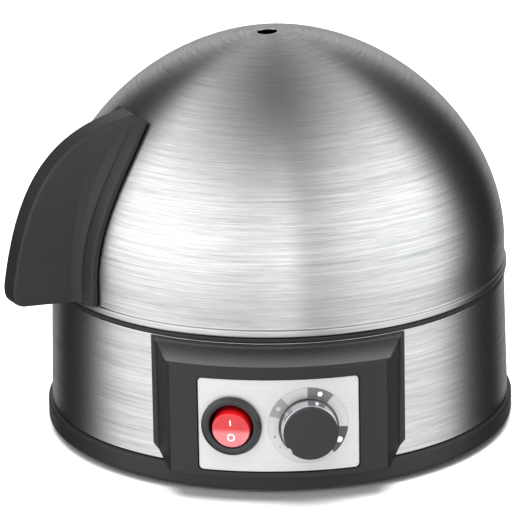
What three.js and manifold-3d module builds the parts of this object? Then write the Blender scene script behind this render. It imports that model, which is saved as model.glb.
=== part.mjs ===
// Electric egg cooker: plastic base with a steel band, a control housing on the front,
// a water bowl with its heating element, an egg tray, and a domed lid with a fin handle.
//
// Millimetres, +Z up. The origin is on the body's axis, in the plane it rests on.
// The controls face -Y, and +X is to the right of someone who faces them.
// An azimuth is an angle about +Z, counted from the front (-Y) towards +X.

import * as THREE from 'three';
import { ParametricGeometry } from 'three/addons/geometries/ParametricGeometry.js';
import { mergeVertices } from 'three/addons/utils/BufferGeometryUtils.js';
import Module from 'manifold-3d';

const wasm = await Module();
wasm.setup();

// ---------------------------------------------------------------- driving dimensions

const GAP = 0.3; // between pieces that touch

// Body
const BODY_RADIUS = 90; // steel band at its lower edge
const BAND_TAPER = 1.3; // how much narrower the band is at its upper edge
const BAND_HEIGHT = 49.1;
const BAND_SHEET = 0.6;
const BASE_LIFT = 2; // base ring's lower edge above the surface
const BASE_TOP = 10.5; // shoulder of the base ring
const BASE_FLARE = 1.6; // base ring beyond the band
const BASE_WALL = 2;
const HUB_RADIUS = 24;
const RING_VISIBLE = 1.8; // black ring between band and lid
const FOOT_RADIUS = 6;
const FOOT_CIRCLE = 62;
const SCREW_RADIUS = 1.5;
const SCREW_HEAD_RADIUS = 3.2;
const PILLAR_RADIUS = 4;

// Bowl, element and tray
const PAN_DEPTH = 16;
const PAN_SHEET = 0.9;
const ELEMENT_RADIUS = 3.3; // of the tube
const THERMOSTAT_RADIUS = 8;
const THERMOSTAT_HEIGHT = 7.5;
const TRAY_SHEET = 1.2;
const TRAY_DEPTH = 4;
const TRAY_GRIP_HEIGHT = 17;
const TRAY_GRIP_WIDTH = 14;
const TRAY_GRIP_SHEET = 2.4;
const TRAY_STEM_RADIUS = 1.2;
const EGG_HOLE_RADIUS = 16;
const EGGS_ROUND_CENTRE = 6;

// Lid
const LID_HEIGHT = 94.9; // dome edge to apex
const LID_SKIRT = 11.6; // upright part of the dome
const LID_SHEET = 0.6;
const LID_BULGE = 1.865; // exponent of the dome's outline, 2 is an ellipse
const LID_BEAD = 0.9; // rolled lower edge, beyond the dome
const STEAM_HOLE_RADIUS = 4;
const STEAM_HOLE_OFFSET = 3;

// Handle
const HANDLE_AZIMUTH = THREE.MathUtils.degToRad(-62);
const HANDLE_REACH = 27.9; // beyond the dome, at the bottom
const HANDLE_BOTTOM = 2.7; // above the dome's lower edge
const HANDLE_HEIGHT = 66.5;
const HANDLE_RIM = 10; // thickness at the outer rim
const HANDLE_ROOT = 18.4; // thickness where the fin meets its cove, at the bottom
const HANDLE_ROOT_LIFT = 5.4; // of that line above the dome
const HANDLE_FLANGE_WIDTH = 37.6; // widest
const HANDLE_WIDEST = 20; // height of that place above the handle's lower edge
const HANDLE_FLANGE_STRIP = 5.4; // raised strip along each edge
const HANDLE_FLANGE = 3.2; // thickness at that strip
const HANDLE_SCREW_HEIGHTS = [20, 47]; // up the dome, from its lower edge
const HANDLE_SCREW_REACH = 9.5; // into the fin, from the dome's surface

// Control housing and faceplate
const HOUSING_WIDTH = 95.4; // where it meets the band
const HOUSING_FACE_WIDTH = 81.6;
const HOUSING_DEPTH = 11; // front beyond the band
const HOUSING_WALL = 2.2;
const HOUSING_LIP_DROP = 6; // front lip below the top of the housing
const HOUSING_CHAMFER = 5.9; // along each side of a lower corner
const PLATE_WIDTH = 60;
const PLATE_HEIGHT = 36.3;
const PLATE_SHEET = 0.8;
const PLATE_CORNER = 1.6;
const PLATE_DROP = 4.1; // plate's upper edge below the lip

// Switch and dial
const SWITCH_OFFSET = -17.5; // sideways, at the faceplate
const SWITCH_BEZEL_RADIUS = 11.5;
const SWITCH_OPENING_RADIUS = 8.2;
const SWITCH_BARREL_RADIUS = SWITCH_OPENING_RADIUS + 1.4;
const SWITCH_DEPTH = 17;
const ROCKER_RADIUS = 7; // of its face
const ROCKER_TILT = THREE.MathUtils.degToRad(10);
const DIAL_OFFSET = 11;
const KNOB_RADIUS = 10.3;
const KNOB_HEIGHT = 9.6;
const SHAFT_RADIUS = 3;
const BUSHING_RADIUS = 4.2;
const REGULATOR_SIZE = 28;

// Cable entry
const GLAND_BORE = 3.4; // radius
const GLAND_HEIGHT = 24;
const WIRE_RADIUS = 1.1;

// Facets round a circle
const ROUND = 40;
const SMALL_ROUND = 14;
const DOME_STEPS = 11; // rows of facets from the skirt to the apex

// ---------------------------------------------------------------- levels and radii

const BAND_BOTTOM = BASE_TOP + GAP;
const BAND_TOP = BAND_BOTTOM + BAND_HEIGHT;
const RING_BOTTOM = BAND_TOP + GAP;
const RING_TOP = RING_BOTTOM + RING_VISIBLE;
const LID_BOTTOM = RING_TOP + GAP;
const LID_TOP = LID_BOTTOM + LID_HEIGHT;
const FLOOR_BOTTOM = BASE_LIFT + 1;
const FLOOR_TOP = FLOOR_BOTTOM + BASE_WALL;
const BASE_RADIUS = BODY_RADIUS + BASE_FLARE;

const bandRadius = (z) => BODY_RADIUS - (BAND_TAPER * (z - BAND_BOTTOM)) / BAND_HEIGHT;
const RING_RADIUS = bandRadius(BAND_TOP) + 0.5;
const SKIRT_RADIUS = bandRadius(BAND_TOP) - BAND_SHEET - 0.6; // ring's skirt inside the band
const LEDGE_INNER = SKIRT_RADIUS - 11.3;
const LEDGE_TOP = RING_TOP - 2;
const LID_RADIUS = RING_RADIUS - 0.4;
const PILLAR_CIRCLE = LEDGE_INNER + PILLAR_RADIUS;
const PILLAR_AZIMUTHS = [45, 135, 225, 315].map(THREE.MathUtils.degToRad);

const PAN_FLANGE_RADIUS = SKIRT_RADIUS - 2.1 - GAP;
const PAN_RADIUS = LEDGE_INNER - GAP - 0.1; // outside of the wall, at the flange
const PAN_FLANGE_BOTTOM = LEDGE_TOP + GAP;
const PAN_FLANGE_TOP = PAN_FLANGE_BOTTOM + PAN_SHEET;
const PAN_BOTTOM = PAN_FLANGE_BOTTOM - PAN_DEPTH;
const ELEMENT_CIRCLE = PAN_RADIUS * 0.61;
const ELEMENT_Z = PAN_BOTTOM - GAP - ELEMENT_RADIUS;
const TRAY_RIM_BOTTOM = PAN_FLANGE_TOP + GAP;
const TRAY_FLOOR_TOP = TRAY_RIM_BOTTOM + TRAY_SHEET - TRAY_DEPTH;
const TRAY_FLOOR_RADIUS = PAN_RADIUS - 6.5;
const EGG_CIRCLE = TRAY_FLOOR_RADIUS - EGG_HOLE_RADIUS - 5;

const FACE_RADIUS = BODY_RADIUS + HOUSING_DEPTH;
const HOUSING_BOTTOM = BAND_BOTTOM;
const HOUSING_TOP = BAND_TOP - 0.2;
const LIP_Z = HOUSING_TOP - HOUSING_LIP_DROP;
const PLATE_TOP = LIP_Z - PLATE_DROP;
const CONTROL_Z = PLATE_TOP - PLATE_HEIGHT / 2;
const RECESS_RADIUS = FACE_RADIUS - 1.5; // floor of the faceplate's recess
const INNER_FACE_RADIUS = RECESS_RADIUS - HOUSING_WALL;
const PLATE_RADIUS = RECESS_RADIUS + GAP + PLATE_SHEET;
const SWITCH_AZIMUTH = Math.asin(SWITCH_OFFSET / PLATE_RADIUS);
const DIAL_AZIMUTH = Math.asin(DIAL_OFFSET / PLATE_RADIUS);
const WINDOW_HALF_WIDTH = HOUSING_WIDTH / 2 - 15.7; // opening in the band behind the housing
const HOUSING_SCREW_AZIMUTH = Math.asin((WINDOW_HALF_WIDTH + 6.6) / PLATE_RADIUS);

// ---------------------------------------------------------------- finishes

const FINISHES = {
  blackPlastic: { color: 0x2b2c2e, roughness: 0.55, metalness: 0 },
  greyPlastic: { color: 0xb9b6ac, roughness: 0.6, metalness: 0 },
  brushedSteel: { color: 0xc6c7c8, roughness: 0.32, metalness: 1 },
  polishedSteel: { color: 0xd4d5d6, roughness: 0.18, metalness: 1 },
  coatedPan: { color: 0x55575a, roughness: 0.5, metalness: 0.4 },
  silverPlate: { color: 0xdfe0e1, roughness: 0.35, metalness: 0.8 },
  redLens: { color: 0xd2242a, roughness: 0.25, metalness: 0 },
  chrome: { color: 0xe6e7e8, roughness: 0.08, metalness: 1 },
  rubber: { color: 0x1d1d1e, roughness: 0.9, metalness: 0 },
  zincSteel: { color: 0xb4b6b8, roughness: 0.4, metalness: 1 },
  brass: { color: 0xc9a455, roughness: 0.35, metalness: 1 },
  elementSheath: { color: 0x6d6a66, roughness: 0.5, metalness: 0.9 },
  lampGlass: { color: 0xf2b48a, roughness: 0.1, metalness: 0 },
  brownInsulation: { color: 0x6a4326, roughness: 0.6, metalness: 0 },
  blueInsulation: { color: 0x2c56a0, roughness: 0.6, metalness: 0 },
  earthInsulation: { color: 0x8aa52f, roughness: 0.6, metalness: 0 },
};

// ---------------------------------------------------------------- shapes

// Solid of revolution about Z from [radius, z] pairs, which close on themselves or on the axis.
function turned(profile, segments = ROUND) {
  const points = profile.map(([r, z]) => new THREE.Vector2(r, z));
  if (THREE.ShapeUtils.area(points) < 0) points.reverse();
  const onAxis = points[0].x === 0 && points.at(-1).x === 0;
  if (!onAxis) points.push(points[0].clone());
  return new THREE.LatheGeometry(points, segments).rotateX(Math.PI / 2);
}

const drum = (radius, z0, z1, segments = SMALL_ROUND) =>
  turned([[0, z0], [radius, z0], [radius, z1], [0, z1]], segments);

const collar = (inner, outer, z0, z1, segments = SMALL_ROUND) =>
  turned([[inner, z0], [outer, z0], [outer, z1], [inner, z1]], segments);

function block(x0, x1, y0, y1, z0, z1) {
  const box = new THREE.BoxGeometry(x1 - x0, y1 - y0, z1 - z0);
  return box.translate((x0 + x1) / 2, (y0 + y1) / 2, (z0 + z1) / 2);
}

// Outline in XY, made thick from z0 to z1.
function slab(outline, z0, z1) {
  const shape = outline instanceof THREE.Shape
    ? outline : new THREE.Shape(outline.map(([x, y]) => new THREE.Vector2(x, y)));
  const options = { depth: z1 - z0, bevelEnabled: false, curveSegments: 4 };
  return new THREE.ExtrudeGeometry(shape, options).translate(0, 0, z0);
}

function roundedRectangle(width, height, corner) {
  const [x, y] = [width / 2, height / 2];
  const shape = new THREE.Shape();
  shape.moveTo(x - corner, -y).absarc(x - corner, corner - y, corner, -Math.PI / 2, 0);
  shape.absarc(x - corner, y - corner, corner, 0, Math.PI / 2);
  shape.absarc(corner - x, y - corner, corner, Math.PI / 2, Math.PI);
  shape.absarc(corner - x, corner - y, corner, Math.PI, 1.5 * Math.PI);
  return shape;
}

// Round tube along a smooth curve through the points.
function tube(points, radius, steps, sides = 8) {
  const path = new THREE.CatmullRomCurve3(points.map((p) => new THREE.Vector3(...p)), false, 'centripetal');
  const section = new THREE.Shape().absarc(0, 0, radius, 0, 2 * Math.PI);
  return new THREE.ExtrudeGeometry(section, { extrudePath: path, steps, curveSegments: sides });
}

// Turns a shape whose own axis is +Z so that it points outwards at an azimuth.
const outward = (geometry, azimuth, z) =>
  geometry.rotateX(Math.PI / 2).rotateZ(azimuth).translate(0, 0, z);

const at = (radius, azimuth) => [radius * Math.sin(azimuth), -radius * Math.cos(azimuth)];

// ---------------------------------------------------------------- joins and cuts

function toSolid(source) {
  if (source instanceof wasm.Manifold) return source;
  const bare = source.clone();
  bare.deleteAttribute('normal');
  bare.deleteAttribute('uv');
  const merged = mergeVertices(bare, 1e-4);
  const corners = merged.index.array;
  const kept = [];
  for (let i = 0; i < corners.length; i += 3) {
    const [a, b, c] = [corners[i], corners[i + 1], corners[i + 2]];
    if (a !== b && b !== c && c !== a) kept.push(a, b, c);
  }
  return new wasm.Manifold(new wasm.Mesh({
    numProp: 3,
    vertProperties: new Float32Array(merged.attributes.position.array),
    triVerts: new Uint32Array(kept),
  }));
}

const join = (...shapes) => shapes.map(toSolid).reduce((a, b) => a.add(b));
const cut = (shape, ...tools) => tools.map(toSolid).reduce((a, b) => a.subtract(b), toSolid(shape));
const common = (...shapes) => shapes.map(toSolid).reduce((a, b) => a.intersect(b));

function toGeometry(solid) {
  const { vertProperties, triVerts } = solid.getMesh();
  const geometry = new THREE.BufferGeometry();
  geometry.setAttribute('position', new THREE.BufferAttribute(new Float32Array(vertProperties), 3));
  geometry.setIndex(new THREE.BufferAttribute(new Uint32Array(triVerts), 1));
  geometry.computeVertexNormals();
  return geometry;
}

// ---------------------------------------------------------------- scene graph

const cooker = new THREE.Group();
const lid = new THREE.Group();
const tray = new THREE.Group();
cooker.add(lid, tray);

function piece(name, shape, finish, parent = cooker) {
  const mesh = new THREE.Mesh(toGeometry(toSolid(shape)), new THREE.MeshStandardMaterial(FINISHES[finish]));
  mesh.name = name;
  parent.add(mesh);
  return mesh;
}

// A group whose local +Z points outwards from the body's axis at an azimuth and height.
function outwardGroup(azimuth, z, parent = cooker) {
  const group = new THREE.Group();
  group.rotation.set(Math.PI / 2, 0, azimuth, 'ZYX');
  group.position.z = z;
  parent.add(group);
  return group;
}

// ---------------------------------------------------------------- base

// One moulding: hub, floor, outer ring, and the wall that centres the band.
function baseCover() {
  const wallOuter = BODY_RADIUS - BAND_SHEET - 0.7;
  const body = turned([
    [0, 0], [HUB_RADIUS, 0], [HUB_RADIUS, FLOOR_BOTTOM], [BASE_RADIUS - 3.2, FLOOR_BOTTOM],
    [BASE_RADIUS - 2.8, BASE_LIFT], [BASE_RADIUS - 1.4, BASE_LIFT], [BASE_RADIUS, BASE_LIFT + 1.6],
    [BASE_RADIUS, BASE_TOP - 1.2], [BASE_RADIUS - 0.7, BASE_TOP], [wallOuter, BASE_TOP],
    [wallOuter, BASE_TOP + 5.5], [wallOuter - BASE_WALL, BASE_TOP + 5.5],
    [wallOuter - BASE_WALL, FLOOR_TOP], [HUB_RADIUS - BASE_WALL, FLOOR_TOP],
    [HUB_RADIUS - BASE_WALL, BASE_WALL], [0, BASE_WALL],
  ]);
  const bosses = PILLAR_AZIMUTHS.map((azimuth) =>
    drum(PILLAR_RADIUS + 1.2, FLOOR_TOP - 0.5, FLOOR_TOP + 4).translate(...at(PILLAR_CIRCLE, azimuth), 0));
  const holes = PILLAR_AZIMUTHS.flatMap((azimuth) => [
    drum(SCREW_HEAD_RADIUS + 0.4, FLOOR_BOTTOM - 1, FLOOR_BOTTOM + 3),
    drum(SCREW_RADIUS + GAP, FLOOR_BOTTOM, FLOOR_TOP + 6),
  ].map((hole) => hole.translate(...at(PILLAR_CIRCLE, azimuth), 0)));
  const pockets = PILLAR_AZIMUTHS.map((azimuth) =>
    drum(FOOT_RADIUS + GAP, FLOOR_BOTTOM - 1, FLOOR_BOTTOM + 1.2).translate(...at(FOOT_CIRCLE, azimuth), 0));
  const vents = [];
  for (let i = 0; i < 8; i += 1) {
    const slot = block(-1.5, 1.5, HUB_RADIUS + 10, HUB_RADIUS + 24, FLOOR_BOTTOM - 1, FLOOR_TOP + 1);
    vents.push(slot.rotateZ(THREE.MathUtils.degToRad(45 * i + 22.5)));
  }
  return cut(join(body, ...bosses), ...holes, ...pockets, ...vents);
}
piece('base_cover', baseCover(), 'blackPlastic');

PILLAR_AZIMUTHS.forEach((azimuth, i) => {
  const foot = turned([
    [0, 0], [FOOT_RADIUS - 0.8, 0], [FOOT_RADIUS, 0.8], [FOOT_RADIUS, FLOOR_BOTTOM + 1.2 - GAP],
    [0, FLOOR_BOTTOM + 1.2 - GAP],
  ], SMALL_ROUND);
  const mesh = piece(`foot_${i + 1}`, foot, 'rubber');
  mesh.position.set(...at(FOOT_CIRCLE, azimuth), 0);
});

// Pan-head screw along +Z, its head's seat at z = 0.
const screw = (length, headHeight = 2) => turned([
  [0, -headHeight], [SCREW_HEAD_RADIUS - 0.6, -headHeight], [SCREW_HEAD_RADIUS, 0.6 - headHeight],
  [SCREW_HEAD_RADIUS, 0], [SCREW_RADIUS, 0], [SCREW_RADIUS, length], [0, length],
], 12);

PILLAR_AZIMUTHS.forEach((azimuth, i) => {
  const mesh = piece(`base_screw_${i + 1}`, screw(13), 'zincSteel');
  mesh.position.set(...at(PILLAR_CIRCLE, azimuth), FLOOR_BOTTOM + 3 - GAP);
});

// ---------------------------------------------------------------- band and ring

function bodyBand() {
  const sheet = turned([
    [BODY_RADIUS - BAND_SHEET, BAND_BOTTOM], [BODY_RADIUS, BAND_BOTTOM],
    [bandRadius(BAND_TOP), BAND_TOP], [bandRadius(BAND_TOP) - BAND_SHEET, BAND_TOP],
  ]);
  const window = block(
    -WINDOW_HALF_WIDTH, WINDOW_HALF_WIDTH, -BODY_RADIUS - 5, -BODY_RADIUS / 2,
    HOUSING_BOTTOM + 6, PLATE_TOP + 1,
  );
  const glandHole = outward(
    drum(GLAND_BORE + 2.8, BODY_RADIUS - 10, BODY_RADIUS + 10), Math.PI, GLAND_HEIGHT);
  const screwHoles = [-1, 1].map((side) => outward(
    drum(SCREW_RADIUS + GAP, BODY_RADIUS - 10, BODY_RADIUS + 10), side * HOUSING_SCREW_AZIMUTH, CONTROL_Z));
  return cut(sheet, window, glandHole, ...screwHoles);
}
piece('body_band', bodyBand(), 'brushedSteel');

// Carries the bowl on its ledge, centres the lid with its upstand and takes the base screws.
function topRing() {
  const upstand = SKIRT_RADIUS - 0.7;
  const ring = turned([
    [LEDGE_INNER, LEDGE_TOP - 2], [SKIRT_RADIUS - 2, LEDGE_TOP - 2], [SKIRT_RADIUS - 2, RING_BOTTOM - 8],
    [SKIRT_RADIUS, RING_BOTTOM - 8], [SKIRT_RADIUS, RING_BOTTOM], [RING_RADIUS, RING_BOTTOM],
    [RING_RADIUS, RING_TOP - 0.4], [RING_RADIUS - 0.4, RING_TOP], [upstand, RING_TOP],
    [upstand, RING_TOP + 2.4], [upstand - 1.4, RING_TOP + 2.4], [upstand - 1.4, LEDGE_TOP],
    [LEDGE_INNER, LEDGE_TOP],
  ]);
  const foot = FLOOR_TOP + 4 + GAP;
  const pillars = PILLAR_AZIMUTHS.map((azimuth) =>
    drum(PILLAR_RADIUS, foot, LEDGE_TOP - 1).translate(...at(PILLAR_CIRCLE, azimuth), 0));
  const holes = PILLAR_AZIMUTHS.map((azimuth) =>
    drum(SCREW_RADIUS + GAP, foot - 1, foot + 12, 12).translate(...at(PILLAR_CIRCLE, azimuth), 0));
  return cut(join(ring, ...pillars), ...holes);
}
piece('top_ring', topRing(), 'blackPlastic');

// ---------------------------------------------------------------- bowl and heating

piece('heating_pan', turned([
  [0, PAN_BOTTOM], [PAN_RADIUS - 7.5, PAN_BOTTOM], [PAN_RADIUS - 2.5, PAN_BOTTOM + 3.5],
  [PAN_RADIUS, PAN_FLANGE_BOTTOM], [PAN_FLANGE_RADIUS, PAN_FLANGE_BOTTOM],
  [PAN_FLANGE_RADIUS, PAN_FLANGE_TOP], [PAN_RADIUS - PAN_SHEET, PAN_FLANGE_TOP],
  [PAN_RADIUS - PAN_SHEET - 2.5, PAN_BOTTOM + 4], [PAN_RADIUS - 8, PAN_BOTTOM + PAN_SHEET],
  [0, PAN_BOTTOM + PAN_SHEET],
]), 'coatedPan');

const ELEMENT_OPENING = THREE.MathUtils.degToRad(14); // half the gap between the element's ends
const ELEMENT_DROP = 12; // its ends hang below the ring

function heatingElement() {
  const ring = Math.PI - ELEMENT_OPENING - 0.14; // half the level part, in radians
  const bend = [[0.07, 0.7], [0.12, 3], [0.14, 7], [0.14, ELEMENT_DROP]]; // further round, and down
  const points = [];
  for (let i = -12; i <= 12; i += 1) points.push([...at(ELEMENT_CIRCLE, (ring * i) / 12), ELEMENT_Z]);
  bend.forEach(([turn, down]) => {
    points.push([...at(ELEMENT_CIRCLE, ring + turn), ELEMENT_Z - down]);
    points.unshift([...at(ELEMENT_CIRCLE, -ring - turn), ELEMENT_Z - down]);
  });
  return tube(points, ELEMENT_RADIUS, 52, 4);
}
piece('heating_element', heatingElement(), 'elementSheath');

const THERMOSTAT_TOP = PAN_BOTTOM - GAP;
const THERMOSTAT_BOTTOM = THERMOSTAT_TOP - THERMOSTAT_HEIGHT;
piece('thermostat', join(
  drum(THERMOSTAT_RADIUS, THERMOSTAT_BOTTOM, THERMOSTAT_TOP),
  block(-THERMOSTAT_RADIUS - 5, THERMOSTAT_RADIUS + 5, -2, 2, THERMOSTAT_BOTTOM + 2, THERMOSTAT_BOTTOM + 2.8),
), 'greyPlastic');

// Spring strip that presses the thermostat against the bowl.
function thermostatClip() {
  const [foot, knee, low] = [22, 18, THERMOSTAT_BOTTOM - GAP];
  const high = THERMOSTAT_TOP;
  const outline = [
    [-foot - 6, high - 0.8], [-foot, high - 0.8], [-knee, low - 0.8], [knee, low - 0.8],
    [foot, high - 0.8], [foot + 6, high - 0.8], [foot + 6, high], [foot - 0.5, high],
    [knee - 0.5, low], [0.5 - knee, low], [0.5 - foot, high], [-foot - 6, high],
  ];
  return slab(outline, -4, 4).rotateX(Math.PI / 2).rotateZ(Math.PI / 2);
}
piece('thermostat_clip', thermostatClip(), 'zincSteel');

const fuse = piece('thermal_fuse', drum(2, -7, 7, 10).rotateY(Math.PI / 2), 'polishedSteel');
fuse.position.set(-20, 18, PAN_BOTTOM - GAP - 2.2);

// ---------------------------------------------------------------- control housing

// Seen from above: front arc between the fold edges, and cheeks that run back to the band.
function housingPrism(inset, z0, z1) {
  const face = HOUSING_FACE_WIDTH / 2 - inset;
  const root = HOUSING_WIDTH / 2 - inset;
  const front = -FACE_RADIUS - 5;
  const fold = -Math.sqrt(FACE_RADIUS ** 2 - (HOUSING_FACE_WIDTH / 2) ** 2);
  const back = -Math.sqrt(BODY_RADIUS ** 2 - (HOUSING_WIDTH / 2) ** 2) + 4;
  const outline = [[-root, back], [-face, fold], [-face, front], [face, front], [face, fold], [root, back]];
  return slab(outline, z0, z1);
}

function controlHousing() {
  const front = turned([[0, 0], [FACE_RADIUS, 0], [FACE_RADIUS, HOUSING_TOP + 9], [0, HOUSING_TOP + 9]], 96);
  const outside = common(housingPrism(0, HOUSING_BOTTOM, HOUSING_TOP), front);
  const inside = common(
    housingPrism(HOUSING_WALL, HOUSING_BOTTOM + HOUSING_WALL, LIP_Z - HOUSING_WALL),
    turned([[0, 0], [INNER_FACE_RADIUS, 0], [INNER_FACE_RADIUS, HOUSING_TOP], [0, HOUSING_TOP]], 96),
  );
  const bandSide = turned([
    [0, 0], [BODY_RADIUS + GAP, 0], [BODY_RADIUS + GAP, BAND_BOTTOM],
    [bandRadius(BAND_TOP) + GAP, BAND_TOP], [bandRadius(BAND_TOP) + GAP, LID_BOTTOM], [0, LID_BOTTOM],
  ]);
  const scoopStart = bandRadius(BAND_TOP) - 1;
  const scoopRun = FACE_RADIUS - scoopStart;
  const scoop = [[scoopStart, HOUSING_TOP + 2]];
  for (let i = 0; i <= 6; i += 1) {
    const t = i / 6;
    scoop.push([scoopStart + scoopRun * t, HOUSING_TOP - HOUSING_LIP_DROP * Math.sin((t * Math.PI) / 2)]);
  }
  scoop.push([FACE_RADIUS + 4, LIP_Z], [FACE_RADIUS + 4, HOUSING_TOP + 2]);
  const pocket = roundedRectangle(PLATE_WIDTH + 2 * GAP, PLATE_HEIGHT + 2 * GAP, PLATE_CORNER + GAP);
  const recess = cut(
    slab(pocket, 0, FACE_RADIUS + 4).rotateX(Math.PI / 2).translate(0, 0, CONTROL_Z),
    turned([[0, 0], [RECESS_RADIUS, 0], [RECESS_RADIUS, HOUSING_TOP], [0, HOUSING_TOP]], 96),
  );
  const chamfers = [-1, 1].map((side) => {
    const tool = block(-20, 20, -FACE_RADIUS - 5, 0, -30, 0).rotateY(side * -Math.PI / 4);
    return tool.translate(side * (HOUSING_WIDTH / 2 - HOUSING_CHAMFER), 0, HOUSING_BOTTOM);
  });
  const atScrews = (radius, start, end) => [-1, 1].map(
    (side) => outward(drum(radius, start, end, 12), side * HOUSING_SCREW_AZIMUTH, CONTROL_Z));
  const bosses = atScrews(SCREW_RADIUS + 1.7, BODY_RADIUS - 3, FACE_RADIUS - 3.5);
  const bossHoles = atScrews(SCREW_RADIUS + GAP, BODY_RADIUS - 5, BODY_RADIUS + 5.5);
  const switchHole = outward(
    drum(SWITCH_BARREL_RADIUS + GAP, BODY_RADIUS, FACE_RADIUS + 5, 24), SWITCH_AZIMUTH, CONTROL_Z);
  const bushingHole = outward(
    drum(BUSHING_RADIUS + GAP, BODY_RADIUS, FACE_RADIUS + 5), DIAL_AZIMUTH, CONTROL_Z);
  const shell = join(cut(outside, inside), ...bosses);
  return cut(
    shell, bandSide, turned(scoop, 96), recess, ...chamfers, ...bossHoles, switchHole, bushingHole);
}
piece('control_housing', controlHousing(), 'blackPlastic');

[-1, 1].forEach((side, i) => {
  const group = outwardGroup(side * HOUSING_SCREW_AZIMUTH, CONTROL_Z);
  const seat = bandRadius(CONTROL_Z);
  const mesh = piece(`housing_screw_${i + 1}`, screw(BODY_RADIUS + 4.5 - seat), 'zincSteel', group);
  mesh.position.z = seat - BAND_SHEET - 0.6;
});

function faceplate() {
  const sheet = collar(PLATE_RADIUS - PLATE_SHEET, PLATE_RADIUS, 0, LID_BOTTOM, 96);
  const outline = slab(roundedRectangle(PLATE_WIDTH, PLATE_HEIGHT, PLATE_CORNER), 50, FACE_RADIUS + 4);
  const switchHole = outward(
    drum(SWITCH_BARREL_RADIUS + GAP, BODY_RADIUS, FACE_RADIUS + 5, 24), SWITCH_AZIMUTH, CONTROL_Z);
  const bushingHole = outward(
    drum(BUSHING_RADIUS + GAP, BODY_RADIUS, FACE_RADIUS + 5), DIAL_AZIMUTH, CONTROL_Z);
  outline.rotateX(Math.PI / 2).translate(0, 0, CONTROL_Z);
  return cut(common(sheet, outline), switchHole, bushingHole);
}
piece('faceplate', faceplate(), 'silverPlate');

// ---------------------------------------------------------------- switch

const switchGroup = outwardGroup(SWITCH_AZIMUTH, CONTROL_Z);
const BEZEL_BACK = PLATE_RADIUS + GAP;
const BEZEL_FRONT = BEZEL_BACK + 2;
const SWITCH_BACK = BEZEL_FRONT - 2 - SWITCH_DEPTH;
const ROCKER_FACE = 7.2; // rim of the face in front of the pivot
const ROCKER_AXIS = BEZEL_FRONT + 1.5 - ROCKER_FACE; // pivot's distance from the body's axis

piece('switch_housing', turned([
  [0, SWITCH_BACK], [SWITCH_BARREL_RADIUS, SWITCH_BACK], [SWITCH_BARREL_RADIUS, BEZEL_BACK],
  [SWITCH_BEZEL_RADIUS, BEZEL_BACK], [SWITCH_BEZEL_RADIUS, BEZEL_BACK + 0.6],
  [SWITCH_BEZEL_RADIUS - 0.8, BEZEL_FRONT - 0.3], [SWITCH_BEZEL_RADIUS - 2, BEZEL_FRONT],
  [SWITCH_OPENING_RADIUS, BEZEL_FRONT - 0.5], [SWITCH_OPENING_RADIUS, SWITCH_BACK + 2],
  [0, SWITCH_BACK + 2],
], 24), 'blackPlastic', switchGroup);

// Rocker at rest is off: its lower half is pressed in. The face is a shallow hollow, and the sides
// taper, so that they clear the opening at either end of the travel.
function rocker() {
  const face = ROCKER_FACE;
  const button = turned([[0, -2.4], [ROCKER_RADIUS + 0.3, -2.4], [ROCKER_RADIUS + 0.3, 1],
    [ROCKER_RADIUS, face + 1], [0, face + 1]], 24);
  const hollow = drum(60, -20, 20, 96).rotateY(Math.PI / 2).translate(0, 0, face + 59.6);
  const reach = SWITCH_OPENING_RADIUS - 2 * GAP;
  const axle = drum(1.4, -reach, reach, 12).rotateY(Math.PI / 2);
  return join(cut(button, hollow), axle);
}
const rockerMesh = piece('rocker_button', rocker(), 'redLens', switchGroup);
rockerMesh.position.z = ROCKER_AXIS;
rockerMesh.rotation.x = ROCKER_TILT;

piece('switch_lamp', drum(1.6, -3, 3, 10).rotateY(Math.PI / 2), 'lampGlass', switchGroup)
  .position.z = SWITCH_BACK + 2 + GAP + 1.6;

[-5.5, 0, 5.5].forEach((height, i) => {
  const tab = piece(`switch_tab_${i + 1}`, block(-3.2, 3.2, -0.4, 0.4, -8, -GAP), 'brass', switchGroup);
  tab.position.set(0, height, SWITCH_BACK);
});

// ---------------------------------------------------------------- regulator and knob

const dialGroup = outwardGroup(DIAL_AZIMUTH, CONTROL_Z);
const REGULATOR_FRONT = INNER_FACE_RADIUS - 1.5;
const REGULATOR_BACK = REGULATOR_FRONT - 15;
const BUSHING_END = PLATE_RADIUS + 3.4;
const KNOB_BACK = PLATE_RADIUS + 1.3;
const KNOB_FRONT = PLATE_RADIUS + KNOB_HEIGHT;
const half = REGULATOR_SIZE / 2;

piece('regulator_body', cut(
  join(
    block(-half, half, -half, half, REGULATOR_BACK, REGULATOR_FRONT),
    drum(BUSHING_RADIUS, REGULATOR_FRONT - 1, BUSHING_END),
    block(-8, -5, -3, 3, REGULATOR_BACK - 6, REGULATOR_BACK + 1),
    block(5, 8, -3, 3, REGULATOR_BACK - 6, REGULATOR_BACK + 1),
  ),
  drum(SHAFT_RADIUS + GAP, REGULATOR_FRONT - 8, BUSHING_END + 1),
), 'greyPlastic', dialGroup);

piece('regulator_nut', cut(
  drum(6.4, PLATE_RADIUS + GAP, PLATE_RADIUS + 2.8, 6),
  drum(BUSHING_RADIUS + GAP, PLATE_RADIUS - 1, PLATE_RADIUS + 4),
), 'zincSteel', dialGroup);

const shaft = drum(SHAFT_RADIUS, REGULATOR_FRONT - 8 + GAP, KNOB_FRONT - 2.4);
piece('regulator_shaft', shaft, 'zincSteel', dialGroup);

// Knob: bright skirt round the outside, black cap with a small pointer step in its rim.
const SKIRT_FRONT = KNOB_FRONT - 1.9;
piece('knob_skirt', turned([
  [KNOB_RADIUS - 1.6, KNOB_BACK], [KNOB_RADIUS + 1, KNOB_BACK], [KNOB_RADIUS + 1, KNOB_BACK + 0.8],
  [KNOB_RADIUS + 0.3, KNOB_BACK + 1.4], [KNOB_RADIUS + 0.3, SKIRT_FRONT], [KNOB_RADIUS - 1.6, SKIRT_FRONT],
], 32), 'chrome', dialGroup);

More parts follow.
